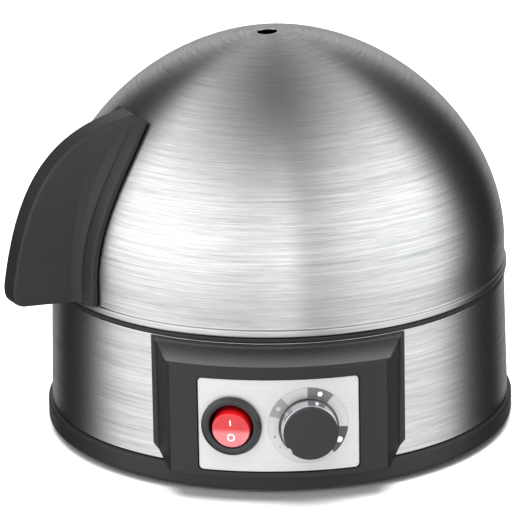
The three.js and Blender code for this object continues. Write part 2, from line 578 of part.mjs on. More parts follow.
const POINTER_ANGLE = THREE.MathUtils.degToRad(-141.4); // from the right, anticlockwise
function timerKnob() {
  const rim = KNOB_RADIUS;
  const core = KNOB_RADIUS - 1.6 - GAP;
  const cap = turned([
    [0, KNOB_BACK], [core, KNOB_BACK], [core, SKIRT_FRONT + GAP], [rim, SKIRT_FRONT + GAP],
    [rim, KNOB_FRONT - 0.5], [rim - 0.5, KNOB_FRONT], [0, KNOB_FRONT],
  ], 32);
  const bore = drum(SHAFT_RADIUS + GAP, KNOB_BACK - 1, KNOB_FRONT - 2.1);
  const nutSpace = drum(7, KNOB_BACK - 1, BUSHING_END + GAP);
  const step = block(rim - 0.8, rim + 2, -1.1, 1.1, SKIRT_FRONT, KNOB_FRONT + 1).rotateZ(POINTER_ANGLE);
  return cut(cap, bore, nutSpace, step);
}
piece('timer_knob', timerKnob(), 'blackPlastic', dialGroup);

// ---------------------------------------------------------------- cable entry and wiring

const glandGroup = outwardGroup(Math.PI, GLAND_HEIGHT);
const glandWall = bandRadius(GLAND_HEIGHT);
piece('cord_gland', turned([
  [GLAND_BORE, glandWall - BAND_SHEET - 3.2], [GLAND_BORE + 3.8, glandWall - BAND_SHEET - 3.2],
  [GLAND_BORE + 3.8, glandWall - BAND_SHEET - 1], [GLAND_BORE + 2.4, glandWall - BAND_SHEET - 1],
  [GLAND_BORE + 2.4, glandWall + GAP], [GLAND_BORE + 4.6, glandWall + GAP],
  [GLAND_BORE + 4.6, glandWall + 1.6], [GLAND_BORE + 3.6, glandWall + 2.6], [GLAND_BORE, glandWall + 2.6],
], SMALL_ROUND), 'blackPlastic', glandGroup);

const TERMINAL_Z = FLOOR_TOP + GAP;
const terminalBlock = piece('terminal_block', join(
  block(-15, 15, -6, 6, 0, 9),
  ...[-9, 0, 9].map((x) => drum(3, 8, 12, 12).translate(x, 0, 0)),
), 'greyPlastic');
terminalBlock.position.set(0, BODY_RADIUS - 42, TERMINAL_Z);

function wire(name, points, finish) {
  piece(name, tube(points, WIRE_RADIUS, 18, 2), finish);
}
// Each end starts with a short straight lead, so that it leaves its terminal squarely.
const LEAD = 5;
const WIRE_GAP = 2 * GAP;
const terminal = (x) => {
  const y = BODY_RADIUS - 42 - 6 - WIRE_GAP;
  return [[x, y, TERMINAL_Z + 4.5], [x, y - LEAD, TERMINAL_Z + 4.5]];
};
const inwardLead = (azimuth, depth, sideways, z) => [depth, depth - LEAD].map((radius) => {
  const [x, y] = at(radius, azimuth);
  return [x + sideways * Math.cos(azimuth), y + sideways * Math.sin(azimuth), z];
});
const switchTab = (height) => inwardLead(SWITCH_AZIMUTH, SWITCH_BACK - 8 - WIRE_GAP, 0, CONTROL_Z + height);
const regulatorTab = (offset) => inwardLead(DIAL_AZIMUTH, REGULATOR_BACK - 6 - WIRE_GAP, offset, CONTROL_Z);
const elementEnd = (side) => [0, LEAD].map((down) => [
  ...at(ELEMENT_CIRCLE, side * (Math.PI - ELEMENT_OPENING)), ELEMENT_Z - ELEMENT_DROP - WIRE_GAP - down,
]);
const backwards = (lead) => [...lead].reverse();
const earthStud = [[32, 2, PAN_BOTTOM - 9], [32, 2, PAN_BOTTOM - GAP]];

wire('wire_supply', [...terminal(-9), [-24, 20, 11], [-30, -10, 13], [-26, -42, 20],
  ...backwards(switchTab(-5.5))], 'brownInsulation');
wire('wire_switched', [...switchTab(5.5), [-7, -58, CONTROL_Z + 4], ...backwards(regulatorTab(-6.5))],
  'brownInsulation');
wire('wire_regulated', [...regulatorTab(6.5), [27, -34, 22], [38, 0, 15], [26, 34, 14],
  ...backwards(elementEnd(1))], 'brownInsulation');
wire('wire_neutral', [...terminal(0), [-3, 30, 14], [-9, 34, 19], ...backwards(elementEnd(-1))],
  'blueInsulation');
wire('wire_earth', [...terminal(9), [14, 26, 12], [26, 12, 20], ...earthStud], 'earthInsulation');

// ---------------------------------------------------------------- tray

const trayRim = PAN_FLANGE_RADIUS - 2.3; // clears the screws inside the dome as it is lifted
const GRIP_CIRCLE = TRAY_FLOOR_RADIUS - 4;
function eggTray() {
  const floor = TRAY_FLOOR_TOP - TRAY_SHEET;
  const dish = turned([
    [0, floor], [TRAY_FLOOR_RADIUS, floor], [PAN_RADIUS - 3.5, TRAY_RIM_BOTTOM], [trayRim, TRAY_RIM_BOTTOM],
    [trayRim, TRAY_RIM_BOTTOM + TRAY_SHEET], [PAN_RADIUS - 4.2, TRAY_RIM_BOTTOM + TRAY_SHEET],
    [TRAY_FLOOR_RADIUS - 0.7, TRAY_FLOOR_TOP], [0, TRAY_FLOOR_TOP],
  ]);
  const hole = () => drum(EGG_HOLE_RADIUS, floor - 2, TRAY_FLOOR_TOP + 2, 20);
  const holes = [hole()];
  for (let i = 0; i < EGGS_ROUND_CENTRE; i += 1) {
    holes.push(hole().translate(...at(EGG_CIRCLE, (2 * Math.PI * i) / EGGS_ROUND_CENTRE), 0));
  }
  const gripHoles = [-1, 1].map((side) =>
    drum(TRAY_STEM_RADIUS + GAP, floor - 2, TRAY_FLOOR_TOP + 2, 10).translate(side * GRIP_CIRCLE, 0, 0));
  return cut(dish, ...holes, ...gripHoles);
}
piece('egg_tray', eggTray(), 'polishedSteel', tray);

// Grips that clip into the tray and stay cool enough to lift it by.
[-1, 1].forEach((side, i) => {
  const thick = TRAY_GRIP_SHEET / 2;
  const tab = slab(roundedRectangle(TRAY_GRIP_WIDTH, 2 * TRAY_GRIP_HEIGHT, 5), -thick, thick);
  const grip = join(tab.rotateX(Math.PI / 2).rotateZ(Math.PI / 2), block(-2.5, 2.5, -5, 5, 0, 1.6));
  const upper = common(grip, block(-10, 10, -10, 10, 0, TRAY_GRIP_HEIGHT));
  const barbTop = -TRAY_SHEET - 2 * GAP;
  const stem = drum(TRAY_STEM_RADIUS, barbTop - 0.1, 1, 10);
  const barb = drum(2 * TRAY_STEM_RADIUS, barbTop - 1.6, barbTop, 10);
  const mesh = piece(`tray_grip_${i + 1}`, join(upper, stem, barb), 'blackPlastic', tray);
  mesh.position.set(side * GRIP_CIRCLE, 0, TRAY_FLOOR_TOP + GAP);
});

// ---------------------------------------------------------------- lid

// Outline of the dome, grown outwards by `offset`, from its lower edge to the apex.
function domeOutline(offset, bottom = LID_BOTTOM, steps = DOME_STEPS) {
  const skirtTop = LID_BOTTOM + LID_SKIRT;
  const outline = [[LID_RADIUS + offset, bottom]];
  for (let i = 0; i <= steps; i += 1) {
    const t = (i / steps) * (Math.PI / 2);
    const radius = i === steps ? 0 : (LID_RADIUS + offset) * Math.cos(t) ** (2 / LID_BULGE);
    outline.push([radius, skirtTop + (LID_TOP + offset - skirtTop) * Math.sin(t) ** (2 / LID_BULGE)]);
  }
  return outline;
}

// Radius and outward normal of the dome at a height.
function domeAt(z) {
  const rise = THREE.MathUtils.clamp((z - LID_BOTTOM - LID_SKIRT) / (LID_HEIGHT - LID_SKIRT), 0, 1);
  const radius = LID_RADIUS * (1 - rise ** LID_BULGE) ** (1 / LID_BULGE);
  const normal = new THREE.Vector2(
    (radius / LID_RADIUS) ** (LID_BULGE - 1) / LID_RADIUS,
    rise ** (LID_BULGE - 1) / (LID_HEIGHT - LID_SKIRT),
  ).normalize();
  return { radius, normal };
}

// A shape along +Z moved to the dome, at a height on the handle's centre line, pointing outwards.
function onDome(geometry, height) {
  const z = LID_BOTTOM + height;
  const { radius, normal } = domeAt(z);
  geometry.rotateY(Math.atan2(normal.x, normal.y)).translate(radius, 0, z);
  return geometry.rotateZ(HANDLE_AZIMUTH - Math.PI / 2);
}

function lidDome() {
  const outer = domeOutline(0);
  outer.splice(1, 0, [LID_RADIUS, LID_BOTTOM + 3.4]);
  outer.splice(0, 1, [LID_RADIUS + LID_BEAD - 0.4, LID_BOTTOM], [LID_RADIUS + LID_BEAD, LID_BOTTOM + 0.7],
    [LID_RADIUS + LID_BEAD, LID_BOTTOM + 1.7], [LID_RADIUS, LID_BOTTOM + 2.6]);
  const inner = domeOutline(-LID_SHEET).reverse();
  const shell = turned([...outer, ...inner]);
  const steam = drum(STEAM_HOLE_RADIUS, LID_TOP - 12, LID_TOP + 5)
    .translate(...at(STEAM_HOLE_OFFSET, HANDLE_AZIMUTH), 0);
  const screwHoles = HANDLE_SCREW_HEIGHTS.map((height) => onDome(drum(SCREW_RADIUS + GAP, -5, 5, 12), height));
  return cut(shell, steam, ...screwHoles);
}
piece('lid_dome', lidDome(), 'brushedSteel', lid);

// Half the handle's cross-section as [sideways, above the dome], from the middle of the rim round
// to the middle of the root. `s` runs from 0 at the bottom to 1 at the top, `reach` is the rim's
// height above the dome, and `flange` half the saddle's width there.
function handleSection(s, reach, flange) {
  const rim = HANDLE_RIM / 2;
  const root = rim + ((HANDLE_ROOT - HANDLE_RIM) / 2) * (1 - s * s);
  const lift = Math.min(HANDLE_ROOT_LIFT, reach - 1) * (1 - s ** 3) + (reach - 0.6) * s ** 3;
  const strip = Math.max(flange - HANDLE_FLANGE_STRIP, root + 2);
  const valley = Math.min(HANDLE_FLANGE - 0.5, lift);
  return [
    [0, reach], [rim - 1, reach], [rim, reach - 1 * (1 - s) - 0.2], [root, lift],
    [root + (strip - root) * 0.3, valley + (lift - valley) * 0.35], [root + (strip - root) * 0.7, valley],
    [strip, HANDLE_FLANGE], [flange, HANDLE_FLANGE - 1], [flange, -3], [0, -3],
  ];
}

// A fin lofted up the dome from its own cross-sections, trimmed to sit on the sheet.
function lidHandle() {
  const bottomZ = LID_BOTTOM + HANDLE_BOTTOM;
  const topZ = bottomZ + HANDLE_HEIGHT;
  const tip = domeAt(topZ);
  const tipPoint = new THREE.Vector2(tip.radius, topZ).addScaledVector(tip.normal, HANDLE_FLANGE);
  const foot = new THREE.Vector2(LID_RADIUS + HANDLE_REACH, bottomZ);
  const rim = new THREE.CubicBezierCurve(
    foot, new THREE.Vector2(foot.x - 5.6, foot.y + 0.64 * HANDLE_HEIGHT),
    new THREE.Vector2(tipPoint.x + 1.25 * HANDLE_REACH, tipPoint.y - 4.4), tipPoint,
  );
  const rows = 14;
  const corners = 18; // round one cross-section
  const loft = (u, v, target) => {
    const row = Math.round(v * (rows + 2)) - 1;
    const s = THREE.MathUtils.clamp(row / rows, 0, 1);
    const z = bottomZ + HANDLE_HEIGHT * s;
    const root = new THREE.Vector2(domeAt(z).radius, z);
    const out = rim.getPoint(s).sub(root);
    const reach = out.length();
    out.normalize();
    const narrowing = (z - bottomZ - HANDLE_WIDEST) / (HANDLE_HEIGHT - 8.5);
    const flange = (HANDLE_FLANGE_WIDTH / 2) * (1 - narrowing ** 4);
    const half = handleSection(s, reach, flange);
    const corner = Math.round(u * corners) % corners;
    let [side, above] = corner <= 9 ? half[corner] : half[corners - corner];
    if (corner > 9) side = -side;
    if (row < 0 || row > rows) [side, above] = [0, 0];
    const wrap = root.x - Math.sqrt(root.x ** 2 - side ** 2);
    target.set(root.x + out.x * above - wrap, side, z + out.y * above);
  };
  const fin = new ParametricGeometry(loft, corners, rows + 2).rotateZ(HANDLE_AZIMUTH - Math.PI / 2);
  const bead = LID_RADIUS + LID_BEAD + GAP;
  const dome = turned([[bead, 20], [bead, LID_BOTTOM + 3], ...domeOutline(GAP, LID_BOTTOM + 3.5), [0, 20]]);
  const holes = HANDLE_SCREW_HEIGHTS.map((height) => onDome(drum(SCREW_RADIUS + GAP, -5, 10, 12), height));
  return cut(fin, dome, ...holes);
}
piece('lid_handle', lidHandle(), 'blackPlastic', lid);

HANDLE_SCREW_HEIGHTS.forEach((height, i) => {
  const washerTop = -LID_SHEET - 0.9; // its flat face under the curved sheet
  const seat = washerTop - 0.8 - GAP;
  const fastener = screw(HANDLE_SCREW_REACH - seat).translate(0, 0, seat);
  piece(`handle_screw_${i + 1}`, onDome(fastener, height), 'zincSteel', lid);
  const washer = collar(SCREW_RADIUS + 0.4, 5, washerTop - 0.8, washerTop);
  piece(`handle_washer_${i + 1}`, onDome(washer, height), 'zincSteel', lid);
});

export default cooker;
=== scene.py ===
"""Electric egg cooker with a brushed steel dome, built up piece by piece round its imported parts.

Sizes are in millimetres and turned into metres where a mesh is made. +Z is up, the controls face
-Y, and an azimuth is an angle about +Z, counted from the front (-Y) towards +X.
"""

import bmesh
import bpy
import numpy as np
from mathutils import Matrix, Vector


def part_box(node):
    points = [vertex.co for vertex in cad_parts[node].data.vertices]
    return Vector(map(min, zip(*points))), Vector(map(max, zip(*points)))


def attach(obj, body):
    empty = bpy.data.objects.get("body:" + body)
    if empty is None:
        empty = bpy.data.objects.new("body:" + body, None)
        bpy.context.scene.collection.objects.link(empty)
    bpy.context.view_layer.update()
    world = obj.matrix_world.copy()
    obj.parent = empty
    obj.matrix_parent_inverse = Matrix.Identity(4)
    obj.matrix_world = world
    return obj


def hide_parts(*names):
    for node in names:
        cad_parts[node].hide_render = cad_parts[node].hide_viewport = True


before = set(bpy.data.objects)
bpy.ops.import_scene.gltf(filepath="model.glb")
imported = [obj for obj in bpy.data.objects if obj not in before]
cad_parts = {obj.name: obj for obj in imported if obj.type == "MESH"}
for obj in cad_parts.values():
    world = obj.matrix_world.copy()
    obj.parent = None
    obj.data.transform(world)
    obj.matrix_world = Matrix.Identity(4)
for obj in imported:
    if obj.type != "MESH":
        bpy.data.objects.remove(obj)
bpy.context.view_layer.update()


# ------------------------------------------------------------------------------------ studio
# A white sweep of floor under a white tent, with a black flag at either side of the object, and a
# camera with a long lens that looks down a little on the lid.

MM = 0.001


def colour(code, alpha=1.0):
    """Linear colour of an sRGB hex code: each channel is the 2.4 power of (c + 0.055) / 1.055."""
    channels = np.array([int(code[i:i + 2], 16) for i in (1, 3, 5)]) / 255
    linear = np.where(channels <= 0.04045, channels / 12.92, ((channels + 0.055) / 1.055) ** 2.4)
    return (*linear.tolist(), alpha)


def add(tree, kind, inputs=None, **settings):
    """Adds one node with its settings; each input gets a value or the output it is linked to."""
    node = tree.nodes.new("ShaderNode" + kind)
    for name, value in settings.items():
        setattr(node, name, value)
    for key, value in (inputs or {}).items():
        if isinstance(value, bpy.types.NodeSocket):
            tree.links.new(value, node.inputs[key])
        else:
            node.inputs[key].default_value = value
    return node


def ramp(tree, factor, stops, smooth="LINEAR"):
    """Adds a grey ramp through (position, value) stops."""
    node = add(tree, "ValToRGB", {"Fac": factor})
    node.color_ramp.interpolation = smooth
    while len(node.color_ramp.elements) < len(stops):
        node.color_ramp.elements.new(0.5)
    for element, (position, value) in zip(node.color_ramp.elements, stops):
        element.position = position
        element.color = (value, value, value, 1)
    return node.outputs["Color"]


def studio_camera():
    """Camera on a sphere round its target: the back axis is the unit vector at its azimuth and
    elevation, and the frame is rolled about it."""
    distance, lens = 1674 * MM, 299.8
    elevation, azimuth, roll = np.radians([18.19, 0.68, -1.03])
    target = Vector((-8.5, 0, 65.3)) * MM
    back = Vector((np.sin(azimuth) * np.cos(elevation), -np.cos(azimuth) * np.cos(elevation), np.sin(elevation)))
    right = Vector((np.cos(azimuth), np.sin(azimuth), 0))
    up = back.cross(right)
    turned_right = right * np.cos(roll) + up * np.sin(roll)
    turned_up = up * np.cos(roll) - right * np.sin(roll)
    data = bpy.data.cameras.new("camera")
    data.lens = lens
    data.sensor_width = 36
    data.clip_end = 50
    camera = bpy.data.objects.new("camera", data)
    bpy.context.collection.objects.link(camera)
    axes = Matrix((turned_right, turned_up, back)).transposed().to_4x4()
    camera.matrix_world = Matrix.Translation(target + back * distance) @ axes
    bpy.context.scene.camera = camera


def tent_light():
    """Light of the tent by direction: bright all round the front, falling towards the zenith, with
    a black flag on each side behind that ends under the roof. A flag leans back as it rises: its
    edge is read at the azimuth a - 0.2 * elevation. The steel sees the panels; for soft light the
    tent is dimmer."""
    world = bpy.data.worlds.new("tent")
    world.use_nodes = True
    tree = world.node_tree
    tree.nodes.clear()
    direction = add(tree, "TexCoord").outputs["Generated"]
    parts = add(tree, "SeparateXYZ", {0: direction}).outputs
    backwards = add(tree, "Math", {0: parts["Y"], 1: -1.0}, operation="MULTIPLY").outputs[0]
    azimuth = add(tree, "Math", {0: parts["X"], 1: backwards}, operation="ARCTAN2").outputs[0]
    elevation = add(tree, "Math", {0: parts["Z"]}, operation="ARCSINE").outputs[0]
    turn = add(tree, "MapRange", {"Value": azimuth, 1: -np.pi, 2: np.pi}).outputs[0]
    height = add(tree, "MapRange", {"Value": elevation, 1: -np.pi / 2, 2: np.pi / 2}).outputs[0]
    panels = [(-180, 0.62), (-90, 1.0), (-58, 1.0), (-34, 0.92), (-14, 0.78), (-2, 0.84), (7, 1.0),
              (14, 0.50), (25, 0.58), (40, 0.80), (62, 0.92), (90, 0.95), (180, 0.62)]
    around = ramp(tree, turn, [((a + 180) / 360, v) for a, v in panels])
    rising = [(-90, 0.55), (-20, 0.62), (4, 0.80), (16, 1.0), (30, 1.0), (46, 0.74), (60, 0.42), (78, 0.16),
              (90, 0.07)]
    level = ramp(tree, height, [((a + 90) / 180, v) for a, v in rising])
    side = add(tree, "Math", {0: azimuth}, operation="ABSOLUTE").outputs[0]
    lean = add(tree, "Math", {0: elevation, 1: -0.2, 2: side}, operation="MULTIPLY_ADD").outputs[0]
    leaning = add(tree, "MapRange", {"Value": lean, 1: 0.0, 2: np.pi}).outputs[0]
    flags = ramp(tree, leaning, [(a / 180, v) for a, v in
                                 [(0, 0.0), (88, 0.0), (99, 0.5), (112, 1.0), (146, 1.0), (162, 0.0), (180, 0.0)]])
    under = ramp(tree, height, [((a + 90) / 180, v) for a, v in [(-90, 0.97), (38, 0.97), (52, 0.0), (90, 0.0)]])
    behind = ramp(tree, leaning, [(a / 180, v) for a, v in [(0, 1.0), (100, 1.0), (150, 0.45), (180, 0.45)]])
    light = add(tree, "Math", {0: around, 1: level}, operation="MULTIPLY").outputs[0]
    light = add(tree, "Math", {0: light, 1: behind}, operation="MULTIPLY").outputs[0]
    shade = add(tree, "Math", {0: flags, 1: under}, operation="MULTIPLY").outputs[0]
    left = add(tree, "Math", {0: 1.0, 1: shade}, operation="SUBTRACT").outputs[0]
    light = add(tree, "Math", {0: light, 1: left}, operation="MULTIPLY").outputs[0]
    path = add(tree, "LightPath").outputs
    strength = add(tree, "MapRange", {"Value": path["Is Glossy Ray"], 3: 0.7, 4: 2.1}).outputs[0]
    seen = add(tree, "Background", {"Color": light, "Strength": strength}).outputs[0]
    sweep = add(tree, "Background", {"Color": (1, 1, 1, 1), "Strength": 1.0}).outputs[0]
    mixed = add(tree, "MixShader", {0: path["Is Camera Ray"], 1: seen, 2: sweep}).outputs[0]
    add(tree, "OutputWorld", {"Surface": mixed})
    bpy.context.scene.world = world


def softbox(name, place, aim, width, height, power):
    """Area light at a place in millimetres, pointed at another."""
    data = bpy.data.lights.new(name, "AREA")
    data.shape = "RECTANGLE"
    data.size = width * MM
    data.size_y = height * MM
    data.energy = power
    light = bpy.data.objects.new(name, data)
    bpy.context.collection.objects.link(light)
    light.location = Vector(place) * MM
    light.rotation_euler = (Vector(aim) - Vector(place)).to_track_quat("-Z", "Y").to_euler()
    return light


def studio_floor():
    """Flat disc of floor; glossy rays pass it, so that the steel shows the tent and not the floor."""
    material = bpy.data.materials.new("painted_sweep")
    material.use_nodes = True
    tree = material.node_tree
    shader = tree.nodes["Principled BSDF"]
    shader.inputs["Roughness"].default_value = 0.9
    shader.inputs["Specular IOR Level"].default_value = 0.1
    grain = add(tree, "TexNoise", {"Scale": 9.0, "Detail": 3.0}).outputs[0]
    tint = add(tree, "Mix", {0: grain, 6: colour("#f6f6f6"), 7: colour("#fafafa")}, data_type="RGBA")
    tree.links.new(tint.outputs[2], shader.inputs["Base Color"])
    turn = np.linspace(0, 2 * np.pi, 96, endpoint=False)
    edge = np.stack([30 * np.sin(turn), 30 * np.cos(turn), 0 * turn], axis=1)
    mesh = bpy.data.meshes.new("floor")
    mesh.from_pydata(edge[::-1].tolist(), [], [tuple(range(96))])
    mesh.materials.append(material)
    floor = bpy.data.objects.new("floor", mesh)
    bpy.context.collection.objects.link(floor)
    floor.visible_glossy = False


bpy.context.scene.view_settings.view_transform = "Standard"
studio_camera()
tent_light()
studio_floor()
softbox("front_softbox", (-350, -1500, 900), (0, 0, 70), 1100, 900, 9).visible_glossy = False
softbox("roof_softbox", (0, -100, 1500), (0, 0, 0), 1600, 1600, 60).visible_glossy = False


# -------------------------------------------------------------------------------- base cover
# Bottom moulding in black ABS with a satin spark-eroded face. Its outer ring carries the steel
# band; the floor has a flat hub, air slots, pockets for the feet and wells for four screws.


def arcs(corners, steps=5):
    """Outline with each (x, y, radius) corner turned into an arc that touches both of its sides:
    the arc is centred on the corner's bisector and swept between the two touching points. One more
    point stands a little outside each end of an arc, so that flats stay flat in smooth shading.
    Leading axes are kept, so a stack of outlines is done in one go."""
    corners = np.asarray(corners, float)
    point, radius = corners[..., :2], np.maximum(corners[..., 2:], 1e-3)
    before = np.roll(point, 1, axis=-2) - point
    after = np.roll(point, -1, axis=-2) - point
    before_length = np.linalg.norm(before, axis=-1, keepdims=True)
    after_length = np.linalg.norm(after, axis=-1, keepdims=True)
    before, after = before / before_length, after / after_length
    opening = np.arccos(np.clip((before * after).sum(-1, keepdims=True), -1, 0.9999))
    opening = np.minimum(opening, np.pi - 1e-3)
    shorter = np.minimum(before_length, after_length)
    radius = np.minimum(radius, 0.42 * shorter * np.tan(opening / 2))
    touch = radius / np.tan(opening / 2)
    bisector = before + after
    bisector /= np.maximum(np.linalg.norm(bisector, axis=-1, keepdims=True), 1e-9)
    centre = point + bisector * radius / np.sin(opening / 2)
    first, last = point + before * touch - centre, point + after * touch - centre
    sweep = (np.pi - opening)[..., None]
    share = np.linspace(0, 1, steps + 1)[:, None]
    arc = np.sin((1 - share) * sweep) * first[..., None, :] + np.sin(share * sweep) * last[..., None, :]
    arc = centre[..., None, :] + arc / np.sin(sweep)
    margin = np.minimum(0.35 * touch + 0.02, 0.06 * shorter)
    outside = point + before * (touch + margin), point + after * (touch + margin)
    line = np.concatenate([outside[0][..., None, :], arc, outside[1][..., None, :]], axis=-2)
    return line.reshape(*line.shape[:-3], -1, 2)


def solid(name, grids, finish, body):
    """One closed piece from grids of points in millimetres, each (rows, columns, 3): a quad joins
    every four neighbours, points in the same place become one, and faces are turned outwards."""
    points, faces, start = [], [], 0
    for grid in grids:
        rows, columns = grid.shape[:2]
        number = start + np.arange(rows * columns).reshape(rows, columns)
        quads = np.stack([number[:-1, :-1], number[:-1, 1:], number[1:, 1:], number[1:, :-1]], axis=-1)
        points.append(grid.reshape(-1, 3))
        faces.append(quads.reshape(-1, 4))
        start += rows * columns
    mesh = bpy.data.meshes.new(name)
    mesh.from_pydata((np.concatenate(points) * MM).tolist(), [], np.concatenate(faces).tolist())
    build = bmesh.new()
    build.from_mesh(mesh)
    bmesh.ops.remove_doubles(build, verts=build.verts, dist=0.002 * MM)
    bmesh.ops.dissolve_degenerate(build, edges=build.edges, dist=0.0005 * MM)
    bmesh.ops.recalc_face_normals(build, faces=build.faces)
    if build.calc_volume(signed=True) < 0:
        bmesh.ops.reverse_faces(build, faces=build.faces)
    build.to_mesh(mesh)
    build.free()
    mesh.materials.append(finish)
    mesh.shade_smooth()
    mesh.set_sharp_from_angle(angle=np.radians(38))
    piece = bpy.data.objects.new(name, mesh)
    bpy.context.collection.objects.link(piece)
    if body:
        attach(piece, body)
    return piece


def lathe(outline, segments=180):
    """Grid of a surface of revolution: the point of a (radius, height) outline at turn a is
    (radius sin a, -radius cos a, height). The outline closes on itself, or along the axis."""
    turn = np.linspace(0, 2 * np.pi, segments + 1)[None, :]
    outline = np.asarray(outline, float)
    line = np.concatenate([outline, outline[:1]])
    radius, height = line[:, :1], line[:, 1:2]
    return np.stack([radius * np.sin(turn), -radius * np.cos(turn), height + 0 * turn], axis=-1)


def carve(piece, tools, operation="DIFFERENCE", folded=False):
    """Cuts the tools away from the piece, or joins them to it, and keeps the result as its mesh. A
    piece whose inner skin crosses itself takes "folded"."""
    for tool in tools:
        change = piece.modifiers.new("carve", "BOOLEAN")
        change.operation = operation
        change.solver = "EXACT"
        change.use_self = folded
        change.object = tool
    graph = bpy.context.evaluated_depsgraph_get()
    mesh = bpy.data.meshes.new_from_object(piece.evaluated_get(graph))
    piece.modifiers.clear()
    piece.data = mesh
    for tool in tools:
        bpy.data.objects.remove(tool)
    mesh.set_sharp_from_angle(angle=np.radians(38))


def drum(name, radius, low, high, move=(0, 0, 0), finish=None, segments=48):
    """Plain round bar along Z, used as a cutting tool or a pillar."""
    grid = lathe([(0, low), (radius, low), (radius, high), (0, high)], segments)
    return solid(name, [grid + np.array(move)], finish, None)


def slot_tool(name, half_width, near, far, low, high, azimuth):
    """Bar with round ends along a radius, used to cut a slot."""
    turn = np.linspace(0, 2 * np.pi, 33)[None, :]
    run = np.clip((near + far) / 2 + np.cos(turn) * 1e6, near, far) + half_width * np.cos(turn)
    side = half_width * np.sin(turn)
    spread = np.array([0, 1, 1, 0])[:, None]
    run = (near + far) / 2 + (run - (near + far) / 2) * spread
    height = np.array([low, low, high, high])[:, None] + 0 * turn
    x = run * np.sin(azimuth) + side * spread * np.cos(azimuth)
    y = -run * np.cos(azimuth) + side * spread * np.sin(azimuth)
    return solid(name, [np.stack([x, y, height], axis=-1)], None, None)


def on_circle(radius, azimuth):
    """Place on a circle about the body's axis, at height 0."""
    return np.array([radius * np.sin(azimuth), -radius * np.cos(azimuth), 0])


def surface(name, code, metallic, roughness, **sockets):
    """New material with one Principled shader; returns it, its tree and the shader."""
    material = bpy.data.materials.new(name)
    material.use_nodes = True
    tree = material.node_tree
    shader = tree.nodes["Principled BSDF"]
    values = {"Base Color": colour(code), "Metallic": metallic, "Roughness": roughness, **sockets}
    for socket, value in values.items():
        shader.inputs[socket].default_value = value
    return material, tree, shader


def moulded_abs():
    """Black ABS from a spark-eroded tool: satin, with a grain about 0.3 mm across that is drawn
    at 0.6 mm so that it shows, and slightly uneven gloss where the melt flowed."""
    material, tree, shader = surface("moulded_black_abs", "#1c1d1f", 0.0, 0.4, IOR=1.53, **{"Specular IOR Level": 0.3})
    place = add(tree, "TexCoord").outputs["Object"]
    grain = add(tree, "TexNoise", {"Vector": place, "Scale": 1 / (0.6 * MM), "Detail": 2.0}).outputs[0]
    flow = add(tree, "TexNoise", {"Vector": place, "Scale": 1 / (22 * MM), "Detail": 3.0}).outputs[0]
    gloss = add(tree, "MapRange", {"Value": flow, 3: 0.34, 4: 0.46}).outputs[0]
    tint = add(tree, "Mix", {0: flow, 6: colour("#1a1b1c"), 7: colour("#222325")}, data_type="RGBA")
    bump = add(tree, "Bump", {"Strength": 0.22, "Distance": 0.05 * MM, "Height": grain})
    tree.links.new(tint.outputs[2], shader.inputs["Base Color"])
    tree.links.new(gloss, shader.inputs["Roughness"])
    tree.links.new(bump.outputs[0], shader.inputs["Normal"])
    return material


def scoop_abs_painted_reflection():
    """Black ABS of the scoop, smoother than the rest, with painted light: a pale, slightly uneven base colour is a
    painted reflection of the bright steel dome, and it turns to near black towards the top of the scoop as painted
    shade under the ring."""
    material, tree, shader = surface("scoop_abs_painted_reflection_and_shade", "#434344", 0.0, 0.2, IOR=1.53)
    place = add(tree, "TexCoord").outputs["Object"]
    flow = add(tree, "TexNoise", {"Vector": place, "Scale": 1 / (14 * MM), "Detail": 3.0}).outputs[0]
    gloss = add(tree, "MapRange", {"Value": flow, 3: 0.18, 4: 0.30}).outputs[0]
    # Painted reflection: pale greys in place of the moulding's black, standing in for the lit dome seen in the scoop.
    tint = add(tree, "Mix", {0: flow, 6: colour("#444445"), 7: colour("#525253")}, data_type="RGBA").outputs[2]
    height = add(tree, "SeparateXYZ", {0: place}).outputs["Z"]
    # Painted shade: the colour darkens to near black between 52 and 58 mm high, under the ring.
    painted_shade_under_ring = add(tree, "MapRange", {"Value": height, 1: 52 * MM, 2: 58 * MM},
                interpolation_type="SMOOTHSTEP").outputs[0]
    mixed = add(tree, "Mix", {0: painted_shade_under_ring, 6: tint, 7: colour("#1c1c1d")}, data_type="RGBA").outputs[2]
    tree.links.new(mixed, shader.inputs["Base Color"])
    tree.links.new(gloss, shader.inputs["Roughness"])
    return material


black_abs = moulded_abs()
base_low, base_high = (np.array(corner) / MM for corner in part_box("base_cover"))
BASE_RADIUS = base_high[0]
BASE_TOP = 10.5
HUB_RADIUS = 24
WALL_RADIUS = BASE_RADIUS - 2.9
FLOOR_UNDER, FLOOR_OVER = 3, 5
PILLAR_CIRCLE, PILLAR_RADIUS = 80.2, 4
FOOT_CIRCLE = 62
CORNER_AZIMUTHS = np.radians([45, 135, 225, 315])

base = solid("base_cover_moulding", [lathe(arcs([
    (0, 0, 0), (HUB_RADIUS, 0, 0.6), (HUB_RADIUS, FLOOR_UNDER, 0.6), (BASE_RADIUS - 3.2, FLOOR_UNDER, 0.5),
    (BASE_RADIUS - 2.8, 2, 0.4), (BASE_RADIUS - 1.2, 2, 0.8), (BASE_RADIUS, 3.4, 0.9),
    (BASE_RADIUS, BASE_TOP, 0.9), (WALL_RADIUS, BASE_TOP, 0.2), (WALL_RADIUS, BASE_TOP + 5.5, 0.4),
    (WALL_RADIUS - 2, BASE_TOP + 5.5, 0.4), (WALL_RADIUS - 2, FLOOR_OVER, 0.4),
    (HUB_RADIUS - 2, FLOOR_OVER, 0.4), (HUB_RADIUS - 2, 2, 0.4), (0, 2, 0),
]), 256)], black_abs, "housing")
carve(base, [drum("boss", 5.2, 4.5, 9, on_circle(PILLAR_CIRCLE, a), black_abs) for a in CORNER_AZIMUTHS], "UNION")
